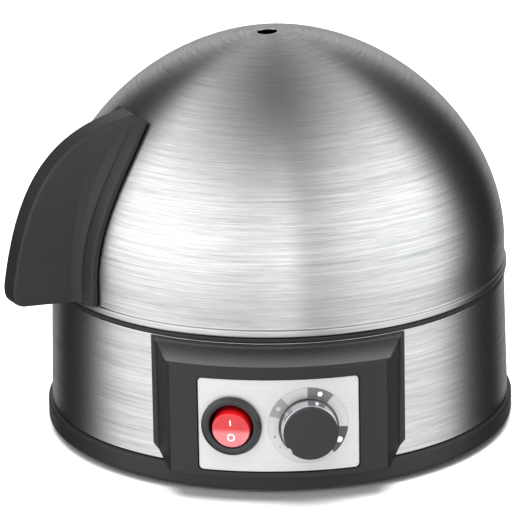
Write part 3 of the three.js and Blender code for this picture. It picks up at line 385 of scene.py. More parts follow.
carve(base, [drum("well", 3.6, 2, 6, on_circle(PILLAR_CIRCLE, a)) for a in CORNER_AZIMUTHS]
      + [drum("hole", 1.8, 2, 12, on_circle(PILLAR_CIRCLE, a)) for a in CORNER_AZIMUTHS]
      + [drum("pocket", 6.3, 2, 4.2, on_circle(FOOT_CIRCLE, a)) for a in CORNER_AZIMUTHS]
      + [slot_tool("vent", 1.5, 35.5, 46.5, 2, 6, np.radians(45 * i + 22.5)) for i in range(8)])
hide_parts("base_cover")


# -------------------------------------------------------------------------------------- feet
# Four moulded rubber feet, pressed into the pockets of the base, with a soft rounded rim and a
# shallow ring in the sole that grips the worktop.


def moulded_rubber():
    """Black nitrile rubber: nearly no gloss, a faint bloom in patches and a fine matt grain."""
    material, tree, shader = surface("moulded_rubber", "#161617", 0.0, 0.85, IOR=1.52)
    place = add(tree, "TexCoord").outputs["Object"]
    bloom = add(tree, "TexNoise", {"Vector": place, "Scale": 1 / (5 * MM), "Detail": 4.0}).outputs[0]
    grain = add(tree, "TexNoise", {"Vector": place, "Scale": 1 / (0.4 * MM), "Detail": 2.0}).outputs[0]
    tint = add(tree, "Mix", {0: bloom, 6: colour("#141415"), 7: colour("#262628")}, data_type="RGBA")
    bump = add(tree, "Bump", {"Strength": 0.3, "Distance": 0.05 * MM, "Height": grain})
    tree.links.new(tint.outputs[2], shader.inputs["Base Color"])
    tree.links.new(bump.outputs[0], shader.inputs["Normal"])
    return material


rubber = moulded_rubber()
foot_outline = arcs([(0, 0.5, 0), (3.4, 0.5, 0.3), (3.8, 0, 0.3), (5.6, 0, 0.5), (6, 1.2, 0.5),
                     (6, 3.9, 0.3), (0, 3.9, 0)])
for number, azimuth in enumerate(CORNER_AZIMUTHS, 1):
    foot = solid(f"rubber_foot_{number}", [lathe(foot_outline, 64) + on_circle(FOOT_CIRCLE, azimuth)],
                 rubber, "housing")
    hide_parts(f"foot_{number}")


# ------------------------------------------------------------------------------------ screws
# Pan-head self-tapping screws in zinc-plated steel, with a cross recess and a rolled thread. The
# same screw holds the base (4), the control housing (2) and the handle (2).


def plated_zinc():
    """Bright zinc plate over turned steel: cool grey, half matt, with faint rings from turning and
    a clouded passivation layer."""
    material, tree, shader = surface("zinc_plated_steel", "#b9bcc0", 1.0, 0.34)
    place = add(tree, "TexCoord").outputs["Object"]
    cloud = add(tree, "TexNoise", {"Vector": place, "Scale": 1 / (2.5 * MM), "Detail": 5.0}).outputs[0]
    gloss = add(tree, "MapRange", {"Value": cloud, 3: 0.26, 4: 0.46}).outputs[0]
    tint = add(tree, "Mix", {0: cloud, 6: colour("#a9adb2"), 7: colour("#c9cbcc")}, data_type="RGBA")
    tree.links.new(tint.outputs[2], shader.inputs["Base Color"])
    tree.links.new(gloss, shader.inputs["Roughness"])
    return material


zinc = plated_zinc()
for name in ("base_screw_1", "base_screw_2", "base_screw_3", "base_screw_4", "housing_screw_1",
             "housing_screw_2", "handle_screw_1", "handle_screw_2", "handle_washer_1",
             "handle_washer_2", "thermostat_clip", "regulator_nut", "regulator_shaft"):
    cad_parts[name].material_slots[0].material = zinc


# ----------------------------------------------------------------------------------- body band
# Strip of 0.6 mm stainless steel, brushed along its length and rolled into a slightly tapered
# ring, with its cut edges broken. A window and small holes in it are hidden by what they serve.


def brushed_stainless():
    """Stainless steel brushed round the axis. Fine scratches that follow the circumference are
    rough across and smooth along, so lights smear up and down the wall; the lines are about
    0.1 mm apart and drawn at 0.5 mm and 1.6 mm so that they show. They follow (z - radius), which
    grows steadily from the band to the top of the dome, and hardly change with the azimuth."""
    material, tree, shader = surface("brushed_stainless_steel", "#c9cacb", 1.0, 0.3, Anisotropic=0.75)
    place = add(tree, "TexCoord").outputs["Object"]
    parts = add(tree, "SeparateXYZ", {0: place}).outputs
    flat = add(tree, "VectorMath", {0: place, 1: (1, 1, 0)}, operation="MULTIPLY").outputs[0]
    radius = add(tree, "VectorMath", {0: flat}, operation="LENGTH").outputs["Value"]
    around = add(tree, "VectorMath", {0: flat}, operation="NORMALIZE").outputs[0]
    climb = add(tree, "Math", {0: parts["Z"], 1: radius}, operation="SUBTRACT").outputs[0]
    streaks = []
    for spacing, turns, seed in ((0.5, 2.2, 0.0), (1.6, 1.1, 7.0), (0.3, 9.0, 3.0)):
        spread = add(tree, "VectorMath", {0: around, 3: turns}, operation="SCALE").outputs[0]
        height = add(tree, "Math", {0: climb, 1: 1 / (spacing * MM)}, operation="MULTIPLY").outputs[0]
        lifted = add(tree, "CombineXYZ", {"Z": height}).outputs[0]
        where = add(tree, "VectorMath", {0: spread, 1: lifted}, operation="ADD").outputs[0]
        line = add(tree, "TexNoise", {"Vector": where, "W": seed, "Scale": 1.0, "Detail": 2.0,
                                      "Roughness": 0.7}, noise_dimensions="4D").outputs[0]
        streaks.append(line)
    mixed = add(tree, "Math", {0: streaks[0], 1: streaks[1]}, operation="ADD").outputs[0]
    mixed = add(tree, "Math", {0: mixed, 1: streaks[2]}, operation="ADD").outputs[0]
    line = add(tree, "MapRange", {"Value": mixed, 1: 1.1, 2: 1.9}).outputs[0]
    tint = add(tree, "Mix", {0: line, 6: colour("#a9abad"), 7: colour("#dcdddd")}, data_type="RGBA")
    gloss = add(tree, "MapRange", {"Value": line, 3: 0.40, 4: 0.27}).outputs[0]
    bump = add(tree, "Bump", {"Strength": 0.10, "Distance": 0.03 * MM, "Height": line})
    meridian = add(tree, "CombineXYZ", {"Z": 1.0}).outputs[0]
    tree.links.new(tint.outputs[2], shader.inputs["Base Color"])
    tree.links.new(gloss, shader.inputs["Roughness"])
    tree.links.new(bump.outputs[0], shader.inputs["Normal"])
    tree.links.new(meridian, shader.inputs["Tangent"])
    return material


brushed_steel = brushed_stainless()
band_low, band_high = (np.array(corner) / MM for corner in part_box("body_band"))
BAND_BOTTOM, BAND_TOP = band_low[2], band_high[2]
BAND_RADIUS = band_high[0]
BAND_TOP_RADIUS = BAND_RADIUS - 1.3
BAND_SHEET = 0.6
CONTROL_HEIGHT = 31.45
GLAND_HEIGHT = 24


def facing(grid, azimuth, height):
    """Turns a local grid, with x to the right, y up and z outwards, to an azimuth and height."""
    right = [np.cos(azimuth), np.sin(azimuth), 0]
    outwards = [np.sin(azimuth), -np.cos(azimuth), 0]
    return grid @ np.array([right, [0, 0, 1], outwards]) + np.array([0, 0, height])


def radial_drum(name, radius, near, far, azimuth, height, finish=None):
    """Round bar that points outwards, used as a cutting tool or a boss."""
    grid = lathe([(0, near), (radius, near), (radius, far), (0, far)], 48)
    return solid(name, [facing(grid, azimuth, height)], finish, None)


def bar_tool(name, low, high):
    """Rectangular bar between two corners, used to cut a window."""
    x = np.array([0, 1, 1, 0, 0]) * (high[0] - low[0]) + low[0]
    y = np.array([0, 0, 1, 1, 0]) * (high[1] - low[1]) + low[1]
    spread = np.array([0, 1, 1, 0])[:, None]
    middle = (np.array(low) + np.array(high)) / 2
    height = np.array([low[2], low[2], high[2], high[2]])[:, None] + 0 * x
    grid = np.stack([middle[0] + (x - middle[0]) * spread, middle[1] + (y - middle[1]) * spread, height], axis=-1)
    return solid(name, [grid], None, None)


HOUSING_SCREW_AZIMUTH = np.arcsin((95.4 / 2 - 15.7 + 6.6) / 100.6)
band = solid("brushed_body_band", [lathe(arcs([
    (BAND_RADIUS - BAND_SHEET, BAND_BOTTOM, 0.15), (BAND_RADIUS, BAND_BOTTOM, 0.25),
    (BAND_TOP_RADIUS, BAND_TOP, 0.25), (BAND_TOP_RADIUS - BAND_SHEET, BAND_TOP, 0.15),
], 3), 320)], brushed_steel, "housing")
carve(band, [bar_tool("window", (-32, -100, 16.8), (32, -45, 50.6)),
             radial_drum("gland_hole", 6.2, 80, 100, np.pi, GLAND_HEIGHT),
             radial_drum("hole", 1.8, 80, 100, HOUSING_SCREW_AZIMUTH, CONTROL_HEIGHT),
             radial_drum("hole", 1.8, 80, 100, -HOUSING_SCREW_AZIMUTH, CONTROL_HEIGHT)])
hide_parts("body_band")


# ------------------------------------------------------------------------------ heating parts
# Inside the body: a sheathed element clamped under the bowl, a thermostat held by a spring strip,
# a thermal fuse, a terminal block and silicone-insulated wires.


def oxidised_sheath():
    """Steel element sheath after many heats: brown-grey, with straw and blue oxide in patches."""
    material, tree, shader = surface("oxidised_sheath", "#6d6a66", 0.9, 0.5)
    place = add(tree, "TexCoord").outputs["Object"]
    heat = add(tree, "TexNoise", {"Vector": place, "Scale": 1 / (14 * MM), "Detail": 4.0}).outputs[0]
    tint = add(tree, "Mix", {0: heat, 6: colour("#5c5a5e"), 7: colour("#877b68")}, data_type="RGBA")
    tree.links.new(tint.outputs[2], shader.inputs["Base Color"])
    return material


def inner_moulding(name, light, dark, roughness):
    """Unpolished inner plastic or insulation: matt, with a slow drift of tone along the part."""
    material, tree, shader = surface(name, light, 0.0, roughness, IOR=1.5)
    place = add(tree, "TexCoord").outputs["Object"]
    drift = add(tree, "TexNoise", {"Vector": place, "Scale": 1 / (6 * MM), "Detail": 3.0}).outputs[0]
    tint = add(tree, "Mix", {0: drift, 6: colour(dark), 7: colour(light)}, data_type="RGBA")
    tree.links.new(tint.outputs[2], shader.inputs["Base Color"])
    return material


def inner_metal(name, light, dark, roughness):
    """Stamped or drawn inner metal: even gloss, broken by light and dark clouds of tarnish."""
    material, tree, shader = surface(name, light, 1.0, roughness)
    place = add(tree, "TexCoord").outputs["Object"]
    tarnish = add(tree, "TexNoise", {"Vector": place, "Scale": 1 / (3 * MM), "Detail": 4.0}).outputs[0]
    tint = add(tree, "Mix", {0: tarnish, 6: colour(dark), 7: colour(light)}, data_type="RGBA")
    tree.links.new(tint.outputs[2], shader.inputs["Base Color"])
    return material


grey_nylon = inner_moulding("moulded_grey_nylon", "#c2bfb4", "#aba89d", 0.6)
brass = inner_metal("stamped_brass", "#d0ad5f", "#a98843", 0.33)
for names, finish in (
    (("heating_element",), oxidised_sheath()),
    (("thermostat", "terminal_block", "regulator_body"), grey_nylon),
    (("thermal_fuse",), inner_metal("drawn_fuse_can", "#d0d1d2", "#a8a9ac", 0.25)),
    (("switch_tab_1", "switch_tab_2", "switch_tab_3"), brass),
    (("switch_lamp",), inner_moulding("lamp_glass", "#f2b48a", "#dd9468", 0.15)),
    (("wire_supply", "wire_switched", "wire_regulated"),
     inner_moulding("brown_silicone_insulation", "#74492b", "#5a381f", 0.55)),
    (("wire_neutral",), inner_moulding("blue_silicone_insulation", "#325cab", "#254a8c", 0.55)),
    (("wire_earth",), inner_moulding("striped_earth_insulation", "#a9b534", "#4f8f34", 0.55)),
):
    for name in names:
        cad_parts[name].material_slots[0].material = finish


# ---------------------------------------------------------------------------------- top ring
# Black ABS ring that closes the band: a thin shoulder shows between band and lid, and inside it
# are a ledge for the bowl, an upstand that centres the lid, and four pillars for the base screws.

ring_low, ring_high = (np.array(corner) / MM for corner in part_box("top_ring"))
RING_RADIUS, RING_BOTTOM, RING_TOP = 89.2, 60.2, 62.0
SKIRT_RADIUS, LEDGE_RADIUS, LEDGE_TOP = 87.5, 76.2, 60.0
UPSTAND = SKIRT_RADIUS - 0.7

ring = solid("top_ring_moulding", [lathe(arcs([
    (LEDGE_RADIUS, LEDGE_TOP - 2, 0.3), (SKIRT_RADIUS - 2, LEDGE_TOP - 2, 0.3),
    (SKIRT_RADIUS - 2, RING_BOTTOM - 8, 0.3), (SKIRT_RADIUS, RING_BOTTOM - 8, 0.3),
    (SKIRT_RADIUS, RING_BOTTOM, 0.1), (RING_RADIUS, RING_BOTTOM, 0.35), (RING_RADIUS, RING_TOP, 0.6),
    (UPSTAND, RING_TOP, 0.3), (UPSTAND, RING_TOP + 2.4, 0.4), (UPSTAND - 1.4, RING_TOP + 2.4, 0.4),
    (UPSTAND - 1.4, LEDGE_TOP, 0.4), (LEDGE_RADIUS, LEDGE_TOP, 0.3),
]), 256)], black_abs, "housing")
carve(ring, [drum("pillar", PILLAR_RADIUS, 9.3, LEDGE_TOP - 1, on_circle(PILLAR_CIRCLE, a), black_abs)
             for a in CORNER_AZIMUTHS], "UNION")
carve(ring, [drum("hole", 1.8, 8, 21.3, on_circle(PILLAR_CIRCLE, a)) for a in CORNER_AZIMUTHS])
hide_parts("top_ring")


# ------------------------------------------------------------------------------- heating bowl
# Shallow water bowl, pressed from 0.9 mm aluminium and sprayed inside with a dark non-stick coat.
# A flange rests on the ring's ledge, and a pressed ring stiffens the floor over the element.


def non_stick_coat():
    """Sprayed PTFE coat: charcoal with pale mineral flecks about 0.4 mm across, and orange peel."""
    material, tree, shader = surface("non_stick_coat", "#3c3d40", 0.1, 0.42, IOR=1.38)
    place = add(tree, "TexCoord").outputs["Object"]
    fleck = add(tree, "TexVoronoi", {"Vector": place, "Scale": 1 / (1.3 * MM)}).outputs["Distance"]
    spot = add(tree, "MapRange", {"Value": fleck, 1: 0.10, 2: 0.20, 3: 1.0, 4: 0.0}).outputs[0]
    peel = add(tree, "TexNoise", {"Vector": place, "Scale": 1 / (1.5 * MM), "Detail": 2.0}).outputs[0]
    tint = add(tree, "Mix", {0: spot, 6: colour("#3a3b3e"), 7: colour("#7c7d80")}, data_type="RGBA")
    bump = add(tree, "Bump", {"Strength": 0.25, "Distance": 0.05 * MM, "Height": peel})
    tree.links.new(tint.outputs[2], shader.inputs["Base Color"])
    tree.links.new(bump.outputs[0], shader.inputs["Normal"])
    return material


pan_low, pan_high = (np.array(corner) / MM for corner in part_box("heating_pan"))
PAN_FLANGE, PAN_BOTTOM, PAN_TOP = pan_high[0], pan_low[2], pan_high[2]
PAN_RADIUS, PAN_SHEET = LEDGE_RADIUS - 0.4, 0.9

bowl = solid("heating_bowl", [lathe(arcs([
    (0, PAN_BOTTOM, 0), (38, PAN_BOTTOM, 2), (39, PAN_BOTTOM + 0.5, 2), (54, PAN_BOTTOM + 0.5, 2),
    (55, PAN_BOTTOM, 2), (PAN_RADIUS - 5.5, PAN_BOTTOM, 5), (PAN_RADIUS, PAN_TOP - PAN_SHEET, 0.8),
    (PAN_FLANGE, PAN_TOP - PAN_SHEET, 0.3), (PAN_FLANGE, PAN_TOP, 0.3), (PAN_RADIUS - 0.9, PAN_TOP, 1.4),
    (PAN_RADIUS - 6, PAN_BOTTOM + PAN_SHEET, 4), (55, PAN_BOTTOM + PAN_SHEET, 2),
    (54, PAN_BOTTOM + 1.4, 2), (39, PAN_BOTTOM + 1.4, 2), (38, PAN_BOTTOM + PAN_SHEET, 2),
    (0, PAN_BOTTOM + PAN_SHEET, 0),
], 6), 192)], non_stick_coat(), "housing")
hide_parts("heating_pan")


# ---------------------------------------------------------------------------- control housing
# Black ABS box on the front of the band: a gently curved face between two slanted cheeks, a hollow
# scoop under the lid's edge, a recess for the faceplate and small chamfers at the lower corners.

HOUSING_HALF, FACE_HALF = 95.4 / 2, 81.6 / 2
FACE_RADIUS, RECESS_DEPTH = 101.0, 1.5
HOUSING_BOTTOM, HOUSING_TOP, LIP_HEIGHT = 10.8, 59.7, 53.7
PLATE_WIDTH, PLATE_HEIGHT, PLATE_CORNER = 60.0, 36.3, 1.6
SCOOP_RADIUS = BAND_TOP_RADIUS - 1
CHAMFER_REACH = 31.0


def soft_least(values, rounding):
    """Least of several surfaces with the creases rounded: -k log(sum(exp(-value / k)))."""
    stack = np.stack(values)
    least = stack.min(0)
    return least - rounding * np.log(np.exp(-(stack - least) / rounding).sum(0))


def beside_rectangle(x, z, half_width, half_height, corner):
    """Signed distance outside a rounded rectangle about the origin."""
    over_x = np.abs(x) - half_width + corner
    over_z = np.abs(z) - half_height + corner
    outside = np.hypot(np.maximum(over_x, 0), np.maximum(over_z, 0))
    return outside + np.minimum(np.maximum(over_x, over_z), 0) - corner


def housing_front(x, z):
    """Distance of the housing's outside in front of the axis plane, over a point of its front view:
    the least of the curved face, the two cheeks, the scoop and the two 45 degree chamfers,
    with a step inwards inside the faceplate's recess."""
    face = np.sqrt(FACE_RADIUS ** 2 - x ** 2)
    fold = np.sqrt(FACE_RADIUS ** 2 - FACE_HALF ** 2)
    root = np.sqrt(BAND_RADIUS ** 2 - HOUSING_HALF ** 2) - 4
    cheek = fold + (root - fold) * (np.abs(x) - FACE_HALF) / (HOUSING_HALF - FACE_HALF)
    drop = np.clip((HOUSING_TOP - z) / (HOUSING_TOP - LIP_HEIGHT), 0, 1)
    scoop = SCOOP_RADIUS + (FACE_RADIUS - SCOOP_RADIUS) * np.arcsin(drop) * 2 / np.pi
    scoop = np.sqrt(scoop ** 2 - x ** 2) + np.maximum(LIP_HEIGHT - z, 0) * 6
    lower = face - 0.9 * (1 - np.clip((z - HOUSING_BOTTOM) / 1.2, 0, 1)) ** 2
    front = soft_least([lower, cheek, scoop], 0.22)
    inside = beside_rectangle(x, z - CONTROL_HEIGHT, PLATE_WIDTH / 2 + 0.4, PLATE_HEIGHT / 2 + 0.4, PLATE_CORNER + 0.4)
    step = np.clip(0.5 - inside / 0.24, 0, 1)
    return front - RECESS_DEPTH * step * step * (3 - 2 * step)


def crowded(low, high, edges, coarse=0.55, fine=0.11, reach=1.3):
    """Grid lines from low to high, coarse apart and finer within reach of each edge."""
    lines = [np.arange(low, high, coarse), [high]]
    lines += [np.arange(edge - reach, edge + reach, fine) for edge in edges]
    lines = np.unique(np.round(np.concatenate(lines), 3))
    lines = lines[(lines >= low) & (lines <= high)]
    return lines[np.concatenate([[True], np.diff(lines) > 0.04])]


def control_housing():
    """Front surface as a height field over its front view, whose rows narrow at the chamfers;
    round its border the surface runs back to the band, in along the wall's thickness, forward
    inside the wall and over the inner face to its middle."""
    plate_x, plate_z = PLATE_WIDTH / 2 + 0.4, PLATE_HEIGHT / 2 + 0.4
    x = crowded(-HOUSING_HALF, HOUSING_HALF, [-FACE_HALF, -plate_x, plate_x, FACE_HALF])
    z = crowded(HOUSING_BOTTOM, HOUSING_TOP,
                [HOUSING_BOTTOM, CONTROL_HEIGHT - plate_z, CONTROL_HEIGHT + plate_z, LIP_HEIGHT])
    x, z = np.meshgrid(x, z)
    keep = 34.0
    half = np.minimum(HOUSING_HALF, CHAMFER_REACH + z)
    over = np.maximum(np.abs(x) - keep, 0) * (half - keep) / (HOUSING_HALF - keep)
    x = np.sign(x) * (np.minimum(np.abs(x), keep) + over)
    wall = BAND_RADIUS + 0.8 - 1.3 * (z - BAND_BOTTOM) / (BAND_TOP - BAND_BOTTOM)
    front = np.stack([x, -np.maximum(housing_front(x, z), np.sqrt(wall ** 2 - x ** 2)), z], axis=-1)
    border = np.concatenate([front[0], front[1:, -1], front[-1, -2::-1], front[-2:0:-1, 0], front[:1, 0]])
    rim_x, rim_z = border[:, 0], border[:, 2]
    middle_z = (HOUSING_BOTTOM + LIP_HEIGHT) / 2
    seat = np.sqrt((BAND_RADIUS + 0.3 - 1.3 * (rim_z - BAND_BOTTOM) / (BAND_TOP - BAND_BOTTOM)) ** 2 - rim_x ** 2)
    inner_x = rim_x * (HOUSING_HALF - 2.6) / HOUSING_HALF
    inner_z = middle_z + (np.minimum(rim_z, LIP_HEIGHT) - middle_z) * 0.89
    inner_seat = np.sqrt((BAND_RADIUS - 1.0) ** 2 - inner_x ** 2)
    wall_back = np.maximum(inner_seat, seat - 0.4)
    inner_front = np.minimum(housing_front(inner_x, inner_z) - 2.4, np.sqrt(97.3 ** 2 - inner_x ** 2))
    inner_front = np.maximum(inner_front, wall_back + 0.2)
    back_rows = [np.stack([rim_x, -seat, rim_z], axis=-1), np.stack([inner_x, -wall_back, inner_z], axis=-1)]
    for share in np.linspace(1, 0, 9):
        row_x = inner_x * share
        row_z = middle_z + (inner_z - middle_z) * share
        row_front = inner_front * share ** 4 + np.sqrt(97.3 ** 2 - row_x ** 2) * (1 - share ** 4)
        back_rows.append(np.stack([row_x, -row_front, row_z], axis=-1))
    return [front, np.stack([border, *back_rows])]


def paint_scoop_reflection(housing):
    """Second material, with the painted reflection and painted shade, for the faces over the lip that look upwards."""
    housing.data.materials.append(scoop_abs_painted_reflection())
    for face in housing.data.polygons:
        inside = face.center.z > (LIP_HEIGHT + 0.2) * MM and abs(face.center.x) < (FACE_HALF + 6) * MM
        if inside and face.normal.z > 0.12 and -face.center.y > (SCOOP_RADIUS - 12) * MM:
            face.material_index = 1


SWITCH_AZIMUTH = np.arcsin(-17.5 / 100.6)
DIAL_AZIMUTH = np.arcsin(11 / 100.6)

housing = solid("control_housing_moulding", control_housing(), black_abs, "housing")
carve(housing, [radial_drum("boss", 3.2, 90.6, 98, side * HOUSING_SCREW_AZIMUTH, CONTROL_HEIGHT, black_abs)
                for side in (-1, 1)], "UNION", folded=True)
carve(housing, [radial_drum("switch_hole", 9.9, 92, 104, SWITCH_AZIMUTH, CONTROL_HEIGHT),
                radial_drum("dial_hole", 4.5, 92, 104, DIAL_AZIMUTH, CONTROL_HEIGHT),
                radial_drum("hole", 1.8, 88, 95.5, HOUSING_SCREW_AZIMUTH, CONTROL_HEIGHT),
                radial_drum("hole", 1.8, 88, 95.5, -HOUSING_SCREW_AZIMUTH, CONTROL_HEIGHT)], folded=True)
# The upward faces of the scoop take the material with the painted reflection of the dome.
paint_scoop_reflection(housing)
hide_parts("control_housing")


# --------------------------------------------------------------------------------- faceplate
# Rounded rectangle of 0.8 mm aluminium, bent to the housing's curve, brushed lengthwise, lacquered
# silver-white and stuck into its recess.

PLATE_RADIUS, PLATE_SHEET = 100.6, 0.8


def lacquered_plate():
    """Silver lacquer over brushed aluminium: pale, with a soft gloss and faint level lines that
    are about 0.1 mm apart and drawn at 0.35 mm."""
    material, tree, shader = surface("lacquered_aluminium", "#c2c2c1", 0.35, 0.38)
    place = add(tree, "TexCoord").outputs["Object"]
    stretched = add(tree, "Mapping", {"Vector": place, "Scale": (25, 25, 1 / (0.35 * MM))}).outputs[0]
    line = add(tree, "TexNoise", {"Vector": stretched, "Scale": 1.0, "Detail": 3.0}).outputs[0]
    tint = add(tree, "Mix", {0: line, 6: colour("#b9b9b9"), 7: colour("#c9c9c8")}, data_type="RGBA")
    gloss = add(tree, "MapRange", {"Value": line, 3: 0.42, 4: 0.32}).outputs[0]
    tree.links.new(tint.outputs[2], shader.inputs["Base Color"])
    tree.links.new(gloss, shader.inputs["Roughness"])
    return material


def curved_slab(outline, levels, rows=12):
    """Closed slab on the plate's curve from an outline in its front view. Rows shrink from the
    middle of the front out to the outline, over the levels (inset, radius) round its edge, and
    back to the middle behind."""
    line = np.concatenate([outline, outline[:1]])
    middle = outline.mean(0)
    shares = np.linspace(0, 1, rows)[:, None, None]
    reach = np.linalg.norm(line - middle, axis=-1, keepdims=True)
    grids = []
    for inset, radius in levels:
        edge = middle + (line - middle) * (1 - inset / reach)
        grids.append((edge, radius))
    front = middle + (grids[0][0] - middle) * shares
    back = middle + (grids[-1][0] - middle) * shares[::-1]
    flat = [front] + [edge[None] for edge, _ in grids] + [back]
    radii = [np.full(rows, levels[0][1])] + [np.array([r]) for _, r in grids] + [np.full(rows, levels[-1][1])]
    view = np.concatenate(flat)
    radius = np.concatenate(radii)[:, None]
    return np.stack([view[..., 0], -np.sqrt(radius ** 2 - view[..., 0] ** 2), view[..., 1]], axis=-1)


def plate_outline(half_width, half_height, corner):
    """Rounded rectangle about the plate's middle, with its long sides divided."""
    bends = arcs([(half_width, -half_height, corner), (half_width, half_height, corner),
                  (-half_width, half_height, corner), (-half_width, -half_height, corner)], 8)
    longer = np.linspace(0, 1, 24)[1:-1, None]
    corners = bends.reshape(4, -1, 2)
    sides = [np.concatenate([c, c[-1] + (n[0] - c[-1]) * longer]) for c, n in zip(corners, np.roll(corners, -1, axis=0))]
    return np.concatenate(sides) + np.array([0, CONTROL_HEIGHT])


plate = solid("silver_faceplate", [curved_slab(
    plate_outline(PLATE_WIDTH / 2, PLATE_HEIGHT / 2, PLATE_CORNER),
    [(0.32, PLATE_RADIUS), (0.25, PLATE_RADIUS), (0.07, PLATE_RADIUS - 0.07), (0, PLATE_RADIUS - 0.25),
     (0, PLATE_RADIUS - PLATE_SHEET)],
)], lacquered_plate(), "housing")
carve(plate, [radial_drum("switch_hole", 9.9, 98, 103, SWITCH_AZIMUTH, CONTROL_HEIGHT),
              radial_drum("dial_hole", 4.5, 98, 103, DIAL_AZIMUTH, CONTROL_HEIGHT)])
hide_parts("faceplate")


# -------------------------------------------------------------------------------- dial scale
# Screen-printed ring round the dial: a pale ring with a hairline edge, three grey fields for soft,
# medium and hard eggs, an egg in each, and two dots at the start. The ink stands 0.03 mm high.

SCALE_INNER, SCALE_OUTER = 11.0, 15.0
DIAL_X = 11.0


def printing_ink(name, code):
    """Screen ink: flat colour and low gloss, a little uneven where the squeegee left it."""
    material, tree, shader = surface(name, code, 0.0, 0.55, IOR=1.48)
    place = add(tree, "TexCoord").outputs["Object"]
    cover = add(tree, "TexNoise", {"Vector": place, "Scale": 1 / (0.9 * MM), "Detail": 2.0}).outputs[0]
    thin = add(tree, "MapRange", {"Value": cover, 3: 0.90, 4: 1.06}).outputs[0]
    ink = add(tree, "VectorMath", {0: colour(code)[:3], 3: thin}, operation="SCALE").outputs[0]
    tree.links.new(ink, shader.inputs["Base Color"])
    return material


def printed(name, radius, angle, layer, finish):
    """Thin closed print on the plate from a grid of (radius, angle) about the dial, at a layer."""
    view_x = DIAL_X + radius * np.cos(angle)
    view_z = CONTROL_HEIGHT + radius * np.sin(angle)
    levels = PLATE_RADIUS + np.array([0.004, 0.03 * layer])[:, None, None]
    x = np.stack([view_x, view_x])
    y = -np.sqrt(levels ** 2 - x ** 2)
    low, high = np.stack([x, y, np.stack([view_z, view_z])], axis=-1)
    border = [np.stack([a, b]) for a, b in
              ((low[0], high[0]), (low[-1], high[-1]), (low[:, 0], high[:, 0]), (low[:, -1], high[:, -1]))]
    mark = solid(name, [low, high, *border], finish, "housing")
    return mark


def scale_field(name, start, end, layer, finish, inner=SCALE_INNER, outer=SCALE_OUTER):
    """Sector of the ring between two angles in degrees, counted anticlockwise from the right."""
    angle = np.radians(np.linspace(start, end, max(8, int(abs(end - start) / 2))))[None, :]
    radius = np.linspace(inner, outer, 4)[:, None]
    return printed(name, radius + 0 * angle, angle + 0 * radius, layer, finish)


def egg_mark(name, radius, degrees, size, layer, finish):
    """Egg outline round a point of the ring: radius size * (1 + 0.16 cos t), blunter to one side."""
    turn = np.linspace(0, 2 * np.pi, 33)[None, :]
    share = np.linspace(0.02, 1, 5)[:, None]
    reach = size * share * (1 + 0.16 * np.cos(turn + 0.9))
    centre = radius * np.exp(1j * np.radians(degrees))
    spot = centre + reach * np.exp(1j * turn)
    return printed(name, np.abs(spot), np.angle(spot), layer, finish)


pale_ink = printing_ink("pale_grey_ink", "#b4b4b4")
mid_ink = printing_ink("mid_grey_ink", "#8a8a8a")
grey_ink = printing_ink("grey_ink", "#686868")
dark_ink = printing_ink("dark_grey_ink", "#444444")
white_ink = printing_ink("white_ink", "#efefef")
scale_field("scale_ring", 0, 360, 1, pale_ink, outer=SCALE_OUTER - 0.14)
scale_field("scale_edge", 0, 360, 1, mid_ink, inner=SCALE_OUTER - 0.14)
scale_field("scale_field_soft", 131.6, 164.3, 2, mid_ink)
scale_field("scale_field_medium", 50.0, 90.4, 2, grey_ink)
scale_field("scale_field_hard", -49.8, -5.9, 2, dark_ink)
egg_mark("scale_egg_soft", 13.1, 148, 0.8, 3, pale_ink)
egg_mark("scale_egg_medium", 13.0, 69.9, 0.95, 3, white_ink)
egg_mark("scale_egg_hard", 13.2, -28.6, 1.15, 3, white_ink)
egg_mark("scale_dot_large", 13.35, 198.2, 0.55, 2, mid_ink)
egg_mark("scale_dot_small", 13.35, 217.6, 0.35, 2, mid_ink)


# ------------------------------------------------------------------------------------ switch
# Round snap-in rocker switch: a glossy black nylon housing with a wide bezel, and a translucent
# red polycarbonate rocker on an axle, marked I and O. At rest it is off, lower half pressed in.


def glossy_nylon():
    """Glass-smooth black nylon: a clear sheen on the bezel, with slight waviness from moulding."""
    material, tree, shader = surface("glossy_black_nylon", "#1e1f21", 0.0, 0.22, IOR=1.5)
    place = add(tree, "TexCoord").outputs["Object"]
    wave = add(tree, "TexNoise", {"Vector": place, "Scale": 1 / (7 * MM), "Detail": 2.0}).outputs[0]
    gloss = add(tree, "MapRange", {"Value": wave, 3: 0.16, 4: 0.30}).outputs[0]
    bump = add(tree, "Bump", {"Strength": 0.15, "Distance": 0.1 * MM, "Height": wave})
    tree.links.new(gloss, shader.inputs["Roughness"])
    tree.links.new(bump.outputs[0], shader.inputs["Normal"])
    return material


